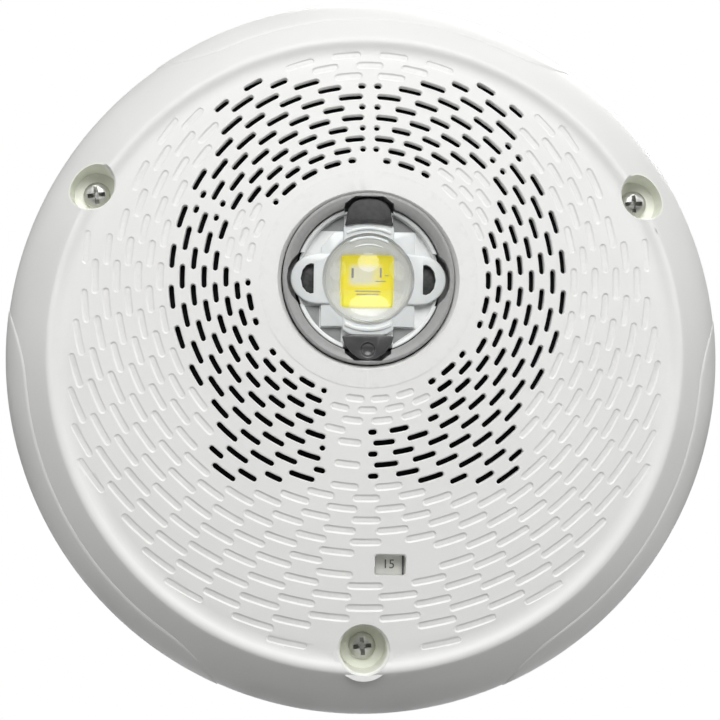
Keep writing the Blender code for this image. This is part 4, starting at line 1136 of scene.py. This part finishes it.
def buildLens():
    # milky frame with two ears and two lobes, and the clear dome set in it
    lens = {
        "thick": 1.2,
        "radius": 10.7,
        "corners": (3.0, 3.4),
        "earStart": 8.0,
        "earCentre": 11.6,
        "earReach": 18.1,
        "earHalf": 5.9,
        "hole": ((12.7, -3.4), (13.4, -3.55), (14.4, -3.1), (15.3, -2.0), (15.75, 0)),
        "lobe": ((5.9, 8), (5.9, 12.2), (4.6, 13.2), (2.4, 13.7), (0, 13.8)),
        "lowerLobe": 0.97,
        # (inner, outer, start, end, height over the seat) of the moulded arcs
        "ribs": ((11.5, 12.2, 64, 116, 1.3), (11.3, 12.2, 243, 297, 1.3)),
        "arcs": ((9.3, 9.9, 62, 118, 2.0), (7.6, 8.0, 66, 114, 2.95), (9.5, 9.9, 246, 294, 1.9)),
        "domeSteps": 14,
    }
    seat, top, base = strobe["seat"], strobe["top"], strobe["base"]
    low, (cutX, cutY) = seat - lens["thick"], lens["corners"]
    square = [(base - 0.2, -base), (base - 0.2, base), (-base + cutX, base), (-base, base - cutY), (-base, -base)]
    body = bevelEdges(prism("frame", square, low, seat), 0.25)
    centre, half = lens["earCentre"], lens["earHalf"]
    ear = [(lens["earStart"], -half), (centre, -half)]
    for t in [math.radians(-80 + 10 * i) for i in range(17)]:
        ear.append((centre + (lens["earReach"] - centre) * math.cos(t), half * math.sin(t)))
    ear += [(centre, half), (lens["earStart"], half)]
    hole = list(lens["hole"]) + [(x, -y) for x, y in reversed(lens["hole"][:-1])]
    for side in (-1, 1):
        wing = bevelEdges(prism("ear", mirrored(ear, side), low + 0.1, seat + 0.7), 0.45, 3)
        body = combine(body, wing, "UNION")
        body = combine(body, prism("hole", mirrored(hole, side), low - 1, seat + 2))
    lobe = [(-x, y) for x, y in lens["lobe"][:1]] + list(lens["lobe"]) + [
        (-x, y) for x, y in reversed(lens["lobe"][1:-1])
    ]
    for outline in (lobe, [(x, y * lens["lowerLobe"]) for x, y in mirrored(lobe, -1, 1)]):
        body = combine(body, bevelEdges(prism("lobe", outline, low + 0.15, seat + 0.9), 0.45, 3), "UNION")
    for inner, outer, start, end, high in lens["ribs"]:
        rib = sector(inner, outer, seat - 0.2, seat + high, start, end)
        body = combine(body, bevelEdges(rib, 0.22), "UNION")
    body = combine(body, cylinder("bore", lens["radius"], low - 1, seat + 3, (0, lensY), strobe["steps"]))
    settle(smooth(body), "lens_frame", "lens_milky", "lens_clear", stands=("strobe_lens",))
    rise, radius = top - seat, lens["radius"] - 0.02
    curve = (radius * radius + rise * rise) / (2 * rise)
    section = [(0, low + 0.05), (radius, low + 0.05), (radius, seat + 0.1)]
    for i in range(1, lens["domeSteps"] + 1):
        turn = math.asin(radius / curve) * (1 - i / lens["domeSteps"])
        section.append((curve * math.sin(turn), top - curve + curve * math.cos(turn)))
    settle(smooth(lathe("dome", section, (0, lensY), strobe["steps"]), 35), "lens_dome", "lens_clear")
    # stacked arcs moulded on the dome above and below the light
    arcs = []
    for inner, outer, start, end, high in lens["arcs"]:
        rib = sector(inner, outer, seat + high - 0.9, seat + high, start, end)
        arcs.append(smooth(bevelEdges(rib, 0.18), 35))
    settle(join("arcs", arcs), "lens_arcs", "lens_milky", "lens_clear")


def buildLight():
    # the phosphor square, its bond marks and the board it sits on
    light = {
        "half": 4.8,
        "thick": 1.1,
        # x0, x1, y0, y1 of each mark about the lens axis
        "marks": (
            (-2.2, 2.4, -1.95, -1.75), (-2.0, 2.2, -2.5, -2.3), (1.5, 3.4, -0.05, 0.1),
            (-2.9, -2.5, 0.6, 2.4), (2.3, 2.6, 0.7, 2.5), (3.2, 3.9, 1.0, 1.15),
        ),
        "board": 16.6,
    }
    top, half = strobe["ledTop"], light["half"]
    chip = block("chip", (-half, lensY - half, top - light["thick"]), (half, lensY + half, top))
    standIn(smooth(bevelEdges(chip, 0.7, 4, 80), 40), "led_chip", "led_yellow")
    marks = [
        block(
            "mark", (x0, lensY + y0, top - 0.02), (x1, lensY + y1, top + 0.08)
        ) for x0, x1, y0, y1 in light["marks"]
    ]
    settle(join("marks", marks), "led_marks", "bezel_grey", "reflector_silver")
    board = cylinder("board", light["board"], strobe["boardLow"], strobe["boardTop"], (0, lensY), strobe["steps"])
    standIn(smooth(bevelEdges(board, 0.12)), "led_board", "board_green")


def buildClips():
    clips = {
        "top": ((5.6, 12.4), (5.2, 14.4), (4.9, 16.2), (3.9, 17.6), (2.3, 18.5), (0, 18.8)),
        "topInner": ((-3, 12.9), (0, 13.1), (3, 12.9)),
        "bottom": ((6.0, -13.3), (5.4, -15.4), (3.9, -17.3), (2.0, -18.6), (0, -19.0)),
        "bottomInner": ((3, -12.9), (-3, -12.9)),
        "dishY": -16.4,
    }
    low, high = levelsOf("lens_clip_top")
    outline = list(clips["top"]) + [(-x, y) for x, y in reversed(clips["top"][:-1])] + list(clips["topInner"])
    clip = prism("clip", outline, low - 0.5, high)
    standIn(smooth(bevelEdges(clip, 0.3, 3), 35), "lens_clip_top", "black_plastic")
    outline = [
        (-x, y) for x, y in clips["bottom"][:-1]
    ] + list(reversed(clips["bottom"])) + list(clips["bottomInner"])
    clip = prism("clip", outline, low - 0.7, high - 0.3)
    dish = [(0, high + 3), (2.6, high + 3), (1.5, high - 0.9), (0, high - 1.2)]
    clip = combine(clip, lathe("dish", dish, (0, lensY + clips["dishY"]), 32))
    standIn(smooth(bevelEdges(clip, 0.3, 3), 35), "lens_clip_bottom", "clip_smoke", "black_plastic")


buildBezel()
buildTray()
buildLens()
buildLight()
buildClips()
print("strobe module built")


def digits(text, height, x, y, z):
    # raised number on the strip
    bpy.ops.object.text_add(location=(0, 0, 0))
    obj = bpy.context.object
    obj.data.body = text
    obj.data.size = height * 1.42 * mm
    obj.data.align_x = "CENTER"
    obj.data.align_y = "CENTER"
    obj.data.extrude = 0.03 * mm
    obj.data.resolution_u = 3
    activate(obj)
    bpy.ops.object.convert(target="MESH")
    return moveTo(freeze(bpy.context.object), x, y, z)


def buildStrip():
    # setting strip behind the window, its numbers, and the frame down from the window to it
    strip = {
        "lift": 0.5,
        "numbers": ("15", "30", "75", "95", "110", "135", "185"),
        "heights": {2: 2.1, 3: 1.8},
        "shift": -0.1,
        "divider": 0.22,
        "edge": 0.6,
        "gap": 0.3,
        # x0, x1, y0, y1 of the frame's walls about the window's middle
        "walls": ((-4.6, -3.7, -3.3, 3.3), (3.7, 4.6, -3.3, 3.3), (-4.6, 4.6, 2.45, 3.3), (-4.6, 4.6, -3.3, -2.45)),
        "overlap": 0.4,
    }
    (left, right), (bottom, top), levels = boxOf("candela_strip")
    under, over = (z + strip["lift"] for z in levels)
    cell = (right - left) / len(strip["numbers"])
    plate = bevelEdges(block("strip", (left, bottom, under), (right, top, over - 0.05)), 0.1)
    standIn(smooth(plate), "candela_strip", "strip_print", body="candela_slide_parts")
    prints = []
    for index, text in enumerate(strip["numbers"]):
        x, y = left + cell * (index + 0.5) + strip["shift"], (bottom + top) / 2 + strip["shift"]
        prints.append(digits(text, strip["heights"][len(text)], x, y, over - 0.03))
    for index in range(1, len(strip["numbers"])):
        x, half = left + cell * index, strip["divider"]
        low = (x - half, bottom + strip["edge"], over - 0.06)
        prints.append(block("divider", low, (x + half, top - strip["edge"], over)))
    x, y = windowLook["x"], windowLook["y"]
    high = domeHeight(x, y) - cover["wall"] + strip["overlap"]
    walls = [
        block("wall", (x + a, y + c, over + strip["gap"]), (x + b, y + d, high)) for a, b, c, d in strip["walls"]
    ]
    settle(join("walls", walls), "window_frame", "white_cover")
    settle(join("prints", prints), "candela_numbers", "print_grey", "strip_print", "candela_slide_parts")


# CAD nodes that stay get rounded edges, in millimetres
cadBevels = {
    "candela_carriage": 0.25,
    "candela_switch": 0.3,
    "voltage_slider": 0.2,
    "voltage_switch": 0.2,
    "tap_switch": 0.3,
    "connector_header": 0.2,
    "module_carrier": 0.25,
}
buildStrip()
for nodeName, width in cadBevels.items():
    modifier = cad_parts[nodeName].modifiers.new("bevel", "BEVEL")
    modifier.width = width * mm
    modifier.segments = 2
    modifier.limit_method = "ANGLE"
print("setting strip built")


def buildPlate():
    plate = {
        "section": ((0, 0), (80.4, 0), (81.0, 0.5), (81.0, 2.5), (80.5, 3.0), (0, 3.0)),
        "hole": 43.0,
        "spacing": 82.6,
        "slotRadius": 3.2,
        "slotReach": 2.0,
        "service": ((-31, -64, -2), (31, -30, 5)),
        "pilot": 1.9,
        "grooves": ((72.0, 73.4), (76.4, 77.2)),
    }
    radius, half = plate["slotRadius"], plate["spacing"] / 2
    body = lathe("plate", plate["section"], steps=168)
    body = combine(body, cylinder("hole", plate["hole"], -2, 5, (0, lensY), 120))
    outline = []
    for start, centre in ((-90, plate["slotReach"]), (90, -plate["slotReach"])):
        turns = [math.radians(start + 18 * i) for i in range(11)]
        outline += [(centre + radius * math.cos(t), radius * math.sin(t)) for t in turns]
    for sx, sy in ((1, 1), (-1, 1), (-1, -1), (1, -1)):
        cutter = moveTo(prism("slot", outline, -2, 5), 0, -lensY)
        body = combine(body, moveTo(cutter, sx * half, sy * half, 0, math.degrees(math.atan2(sy, sx))))
    body = combine(body, block("service", *plate["service"]))
    for x, y, _ in wells.values():
        body = combine(body, cylinder("pilot", plate["pilot"], -2, 5, (x, y), 24))
    # shallow stiffening grooves on the back
    for inner, outer in plate["grooves"]:
        groove = [(inner, -1), (outer, -1), (outer - 0.3, 0.6), (inner + 0.3, 0.6)]
        body = combine(body, lathe("groove", groove, steps=144))
    standIn(smooth(bevelEdges(body, 0.18, 2, 50), 30), "mounting_plate", "plate_white", "white_cover")


buildPlate()
print("plate built")


def buildSpeaker():
    speaker = {
        "sheet": 0.9,
        # (radius, below the face) down the outside and back up the inside
        "outer": ((51.0, 0), (51.0, 0.9), (47.4, 0.9), (46.4, 2.6), (43.6, 7.5), (39.0, 12.6), (33.6, 17.6)),
        "inner": ((32.9, 17.0), (38.2, 12.1), (42.7, 7.0), (45.3, 2.2), (46.2, 0)),
        "window": (31.0, 42.0),
        "windowTop": 5.5,
        "windowHalf": 21,
        "rings": {"top_plate": (11.0, "speaker_steel", 0.35), "magnet_ring": (12.5, "magnet_ferrite", 0.6)},
    }
    back, face = levelsOf("speaker_basket")
    sheet, axis = speaker["sheet"], (0, lensY)
    section = [(r, face - z) for r, z in speaker["outer"]] + [(29.0, back + 0.6), (27.0, back), (22.8, back)]
    section += [(22.8, back + sheet), (26.6, back + sheet), (28.4, back + 1.5)]
    basket = lathe("basket", section + [(r, face - z) for r, z in speaker["inner"]], axis, 144)
    for turn in range(30, 390, 60):
        ends = (turn - speaker["windowHalf"], turn + speaker["windowHalf"])
        basket = combine(basket, sector(*speaker["window"], back - 3, face - speaker["windowTop"], *ends, 16))
    for number in range(1, 5):
        x, y, _ = centreOf(f"speaker_screw_{number}")
        basket = combine(basket, cylinder("hole", 1.5, face - 3, face + 2, (x, y), 20))
    standIn(smooth(bevelEdges(basket, 0.15, 2, 45), 35), "speaker_basket", "speaker_steel")
    for node, (hole, look, edge) in speaker["rings"].items():
        low, high = levelsOf(node)
        radius = radiusOf(node)
        ring = lathe("ring", [(hole, low), (radius, low), (radius, high), (hole, high)], axis)
        standIn(smooth(bevelEdges(ring, edge, 3), 35), node, look)
    low, high = levelsOf("pole_yoke")
    section = [(0, low + 0.5), (2.2, low + 0.5), (2.6, low), (21.6, low), (22.5, low + 0.8), (22.5, low + 3.3)]
    section += [(8.4, low + 3.4), (8.4, high - 0.4), (8.0, high), (0, high)]
    standIn(smooth(lathe("yoke", section, axis), 30), "pole_yoke", "speaker_steel")


def buildCone():
    # ribbed paper cone with its dust cap, riding on the moving body
    cone = {
        "outer": 39.4, "inner": 10.6, "thick": 0.75, "drop": 0.7, "curve": 0.85, "wave": 0.22, "ribs": 7, "steps": 14
    }
    cap = {"outer": 12.0, "inner": 11.5, "edge": 0.5}
    low, high = levelsOf("cone")
    outer, inner = [(cone["outer"], high), (cone["outer"], high - cone["drop"])], []
    for i in range(1, cone["steps"] + 1):
        share = i / cone["steps"]
        r = cone["outer"] - share * (cone["outer"] - cone["inner"])
        z = high - cone["drop"] - (high - low - 0.8) * share ** cone["curve"]
        z += cone["wave"] * math.sin(share * math.pi * cone["ribs"])
        outer.append((r, z))
        inner.append((r, z + cone["thick"]))
    section = outer + list(reversed(inner)) + [(cone["outer"] - 0.5, high)]
    standIn(smooth(lathe("cone", section, (0, lensY), 120), 60), "cone", "black_rubber", body="cone_parts")
    low, high = levelsOf("dust_cap")
    edge, rise = cap["edge"], high - low - cap["edge"]
    turns = [i * math.pi / 20 for i in range(1, 10)]
    section = [(cap["outer"] + 0.1, low), (cap["outer"], low + edge)]
    section += [(cap["outer"] * math.cos(t), low + edge + rise * math.sin(t)) for t in turns]
    section += [(0, high), (0, high - edge)]
    section += [(cap["inner"] * math.cos(t), low + (rise - 0.05) * math.sin(t)) for t in reversed(turns)]
    section += [(cap["inner"], low)]
    standIn(smooth(lathe("cap", section, (0, lensY), 72), 40), "dust_cap", "black_rubber", body="cone_parts")


buildSpeaker()
buildCone()
print("speaker built")


def buildKnob():
    # knob with a pointer and grip flutes
    knob = {"flutes": 12, "fluteRadius": 0.4, "fluteAt": 5.35, "pointers": ((-3.7, 3.7, 0.6), (1.6, 2.8, 1.2))}
    x, y, _ = centreOf("tap_knob")
    low, high = levelsOf("tap_knob")
    body = lathe("knob", [(0, low + 0.35), (4.5, low), (5.0, low + 0.4), (5.2, high), (0, high)], (x, y), 48)
    for x0, x1, half in knob["pointers"]:
        body = combine(body, block("pointer", (x + x0, y - half, low - 1), (x + x1, y + half, low + 1.0)))
    for index in range(knob["flutes"]):
        turn = math.radians(360 / knob["flutes"] * (index + 0.5))
        at = (x + knob["fluteAt"] * math.cos(turn), y + knob["fluteAt"] * math.sin(turn))
        body = combine(body, cylinder("flute", knob["fluteRadius"], low - 1, high + 1, at, 12))
    standIn(smooth(bevelEdges(body, 0.08), 30), "tap_knob", "black_plastic", body="tap_knob_part")


def buildCapacitors():
    # standing cans with a rolled neck and a scored top
    for number in (1, 2, 3):
        node = f"capacitor_{number}"
        x, y, _ = centreOf(node)
        low, high = levelsOf(node)
        r = radiusOf(node)
        sleeve = [(0, low), (r - 0.3, low), (r, low + 0.3), (r, low + 0.8), (r - 0.25, low + 1.05), (r, low + 1.3)]
        sleeve += [
            (r, high - 0.25), (r - 0.3, high), (r - 0.8, high - 0.02), (r - 0.9, high - 0.25), (0, high - 0.25)
        ]
        can = lathe("can", sleeve, (x, y), 48)
        for turn in (0, 60, 120):
            groove = block("groove", (-r * 0.62, -0.1, high - 0.4), (r * 0.62, 0.1, high + 1))
            can = combine(can, moveTo(groove, x, y, 0, turn))
        standIn(smooth(can, 30), node, "capacitor_sleeve")
    # lying flash capacitor with rolled ends
    (left, right), (bottom, top), _ = boxOf("flash_capacitor")
    _, y, z = centreOf("flash_capacitor")
    r, length = (top - bottom) / 2, right - left
    section = [(0, 0), (r - 0.5, 0), (r, 0.5), (r, 2.0), (r - 0.35, 2.4), (r, 2.8), (r, length - 0.5)]
    can = lathe("can", section + [(r - 0.5, length), (0, length - 0.3)], steps=48)
    can.data.transform(Matrix.Rotation(math.radians(90), 4, "Y"))
    standIn(smooth(moveTo(can, left, y, z), 30), "flash_capacitor", "capacitor_sleeve")


def buildTerminals():
    # screws with a straight slot, and the block with a pocket for each and a wire mouth below it
    terminal = {
        "pocket": 2.7, "mouth": 2.2, "mouthLevels": (1.6, 5.4), "groove": 0.25, "slotHalf": 0.35, "slotTurn": 25
    }
    nodes = [f"terminal_screw_{number}" for number in range(1, 5)]
    for number, node in enumerate(nodes, 1):
        x, y, _ = centreOf(node)
        low, high = levelsOf(node)
        section = [
            (0, low), (1.95, low), (2.25, low + 0.3), (2.25, low + 1.4), (1.2, low + 1.5), (1.2, high), (0, high)
        ]
        cut = block("cut", (-3, -terminal["slotHalf"], low - 1), (3, terminal["slotHalf"], low + 0.8))
        head = combine(lathe("head", section, (x, y), 40), moveTo(cut, x, y, 0, terminal["slotTurn"] * number))
        standIn(smooth(head, 30), node, "screw_zinc")
    (left, right), (bottom, top), (under, over) = boxOf("terminal_block")
    body = block("terminals", (left, bottom, under), (right, top, over))
    wide, (low, high) = terminal["mouth"], (under + z for z in terminal["mouthLevels"])
    for x, y, _ in map(centreOf, nodes):
        body = combine(body, cylinder("pocket", terminal["pocket"], under - 2, over - 1.4, (x, y), 32))
        body = combine(body, block("mouth", (x - wide, bottom - 1, low), (x + wide, bottom + 3.5, high)))
    for number in range(1, 4):
        x, half = left + (right - left) * number / 4, terminal["groove"]
        body = combine(body, block("groove", (x - half, bottom - 1, under - 1), (x + half, top + 1, under + 0.8)))
    standIn(smooth(bevelEdges(body, 0.18), 30), "terminal_block", "black_plastic")


def buildCore():
    # laminated transformer core: thin plates standing side by side
    core = {"sheets": 12, "inset": 0.12}
    (left, right), (bottom, top), (under, over) = boxOf("transformer_core")
    thick = (over - under) / core["sheets"]
    sheets = []
    for index in range(core["sheets"]):
        z, inset = under + thick * index, core["inset"] if index % 2 else 0.0
        low = (left + inset, bottom + inset, z)
        sheets.append(block("sheet", low, (right - inset, top - inset, z + thick)))
    standIn(join("core", sheets), "transformer_core", "speaker_steel")


def buildBoardParts():
    # small surface parts and solder joints on the back of the main board, in staggered rows
    board = {
        "rows": 3,
        "columns": 16,
        "start": (-48, -41.0),
        "step": (6.2, 9.4),
        "stagger": 1.7,
        "reach": 66,
        # x0, x1, y0, y1 kept clear for the knob, the block, the slider and the strip's slot
        "taken": ((-30, -14, -90, -48), (-17, 17, -90, -48), (14, 32, -46, 0), (-90, 90, -51.5, -47.1)),
        "wide": (1.3, 0.8, 0.8),
    }
    back = levelsOf("main_board")[0]
    small, solder = [], []
    for row in range(board["rows"]):
        for column in range(board["columns"]):
            x = board["start"][0] + column * board["step"][0] + (row % 2) * board["stagger"]
            y = board["start"][1] - row * board["step"][1]
            if math.hypot(x, y) > board["reach"]:
                continue
            if any(x0 < x < x1 and y0 < y < y1 for x0, x1, y0, y1 in board["taken"]):
                continue
            wide = board["wide"][(row + column) % 3]
            small.append(block("chip", (x - wide, y - 0.6, back - 0.6), (x + wide, y + 0.6, back + 0.02)))
            for middle in (x - wide, x + wide):
                low = (middle - 0.25, y - 0.65, back - 0.45)
                solder.append(block("joint", low, (middle + 0.25, y + 0.65, back + 0.02)))
    settle(smooth(bevelEdges(join("chips", small), 0.08)), "board_chips", "black_plastic")
    settle(smooth(bevelEdges(join("joints", solder), 0.12)), "board_solder", "screw_zinc")


buildKnob()
buildCapacitors()
buildTerminals()
buildCore()
buildBoardParts()
print("board parts built")


def buildStage():
    # pale floor: bright to the camera and in reflections, darker to the light that it throws back
    stage = {
        "floor": -0.34,
        "reach": 1.1,
        "forward": 0.1,
        "pale": ((0.84, 0.84, 0.84), (0.88, 0.88, 0.88)),
        "dark": (0.12, 0.12, 0.12),
        "glow": 0.42,
        "rough": 0.8,
    }
    bpy.ops.mesh.primitive_plane_add(size=2 * stage["reach"], location=(0, stage["forward"], stage["floor"]))
    floor = bpy.context.object
    floor.name = "floor"
    material, tree, shader, place = startMaterial("floor_pale")
    path = tree.nodes.new("ShaderNodeLightPath").outputs
    seen = mathNode(tree, "MAXIMUM", path["Is Camera Ray"], path["Is Glossy Ray"])
    pale = mixColour(tree, noise(tree, place, 3.0), *stage["pale"])
    feed(tree, shader["Base Color"], mixColour(tree, seen, stage["dark"], pale))
    feed(tree, shader["Emission Strength"], mathNode(tree, "MULTIPLY", seen, stage["glow"]))
    feed(tree, shader["Emission Color"], (1, 1, 1))
    shader["Roughness"].default_value = stage["rough"]
    floor.data.materials.append(material)


def buildWorld():
    # soft light that grows toward the top, plain white to the camera
    sky = {"heights": (-0.45, 0.9), "levels": (0.02, 0.36)}
    world = bpy.data.worlds.new("studio")
    scene.world = world
    world.use_nodes = True
    tree = world.node_tree
    tree.nodes.clear()
    axes = splitAxes(tree, tree.nodes.new("ShaderNodeTexCoord").outputs["Generated"])
    soft = tree.nodes.new("ShaderNodeBackground")
    feed(tree, soft.inputs["Strength"], mapRange(tree, axes["Z"], *sky["heights"], *sky["levels"]))
    white = tree.nodes.new("ShaderNodeBackground")
    feed(tree, white.inputs["Color"], (1, 1, 1))
    white.inputs["Strength"].default_value = 1.0
    mix = tree.nodes.new("ShaderNodeMixShader")
    seen = tree.nodes.new("ShaderNodeLightPath").outputs["Is Camera Ray"]
    for index, value in enumerate((seen, soft.outputs[0], white.outputs[0])):
        feed(tree, mix.inputs[index], value)
    feed(tree, tree.nodes.new("ShaderNodeOutputWorld").inputs[0], mix.outputs[0])


def areaLight(name, place, size, power):
    # round soft box that looks at the middle of the object
    data = bpy.data.lights.new(name, "AREA")
    data.shape = "DISK"
    data.size = size
    data.energy = power
    lamp = fromMesh(name, data)
    lamp.location = place
    lamp.rotation_euler = (-Vector(place)).to_track_quat("-Z", "Y").to_euler()


def buildCamera():
    view = {"lens": 83.0, "sensor": 36, "place": (-0.01785, -0.40454, -0.01938), "turn": (92.614, -0.612, -2.428)}
    data = bpy.data.cameras.new("camera")
    data.lens = view["lens"]
    data.sensor_width = view["sensor"]
    camera = fromMesh("camera", data)
    camera.location = view["place"]
    camera.rotation_euler = [math.radians(a) for a in view["turn"]]
    scene.camera = camera


# place, size and power of each lamp
lamps = {
    "key": ((0.03, -1.12, 0.78), 0.9, 13.6),
    "fill_left": ((-1.0, -0.62, 0.4), 0.7, 2.7),
    "fill_right": ((1.0, -0.62, 0.4), 0.7, 3.1),
    "back": ((0.35, 1.1, 0.7), 0.8, 15.0),
}
buildStage()
buildWorld()
for name, lamp in lamps.items():
    areaLight(name, *lamp)
buildCamera()
scene.view_settings.view_transform = "Standard"

deselectAll()
print("stage ready")
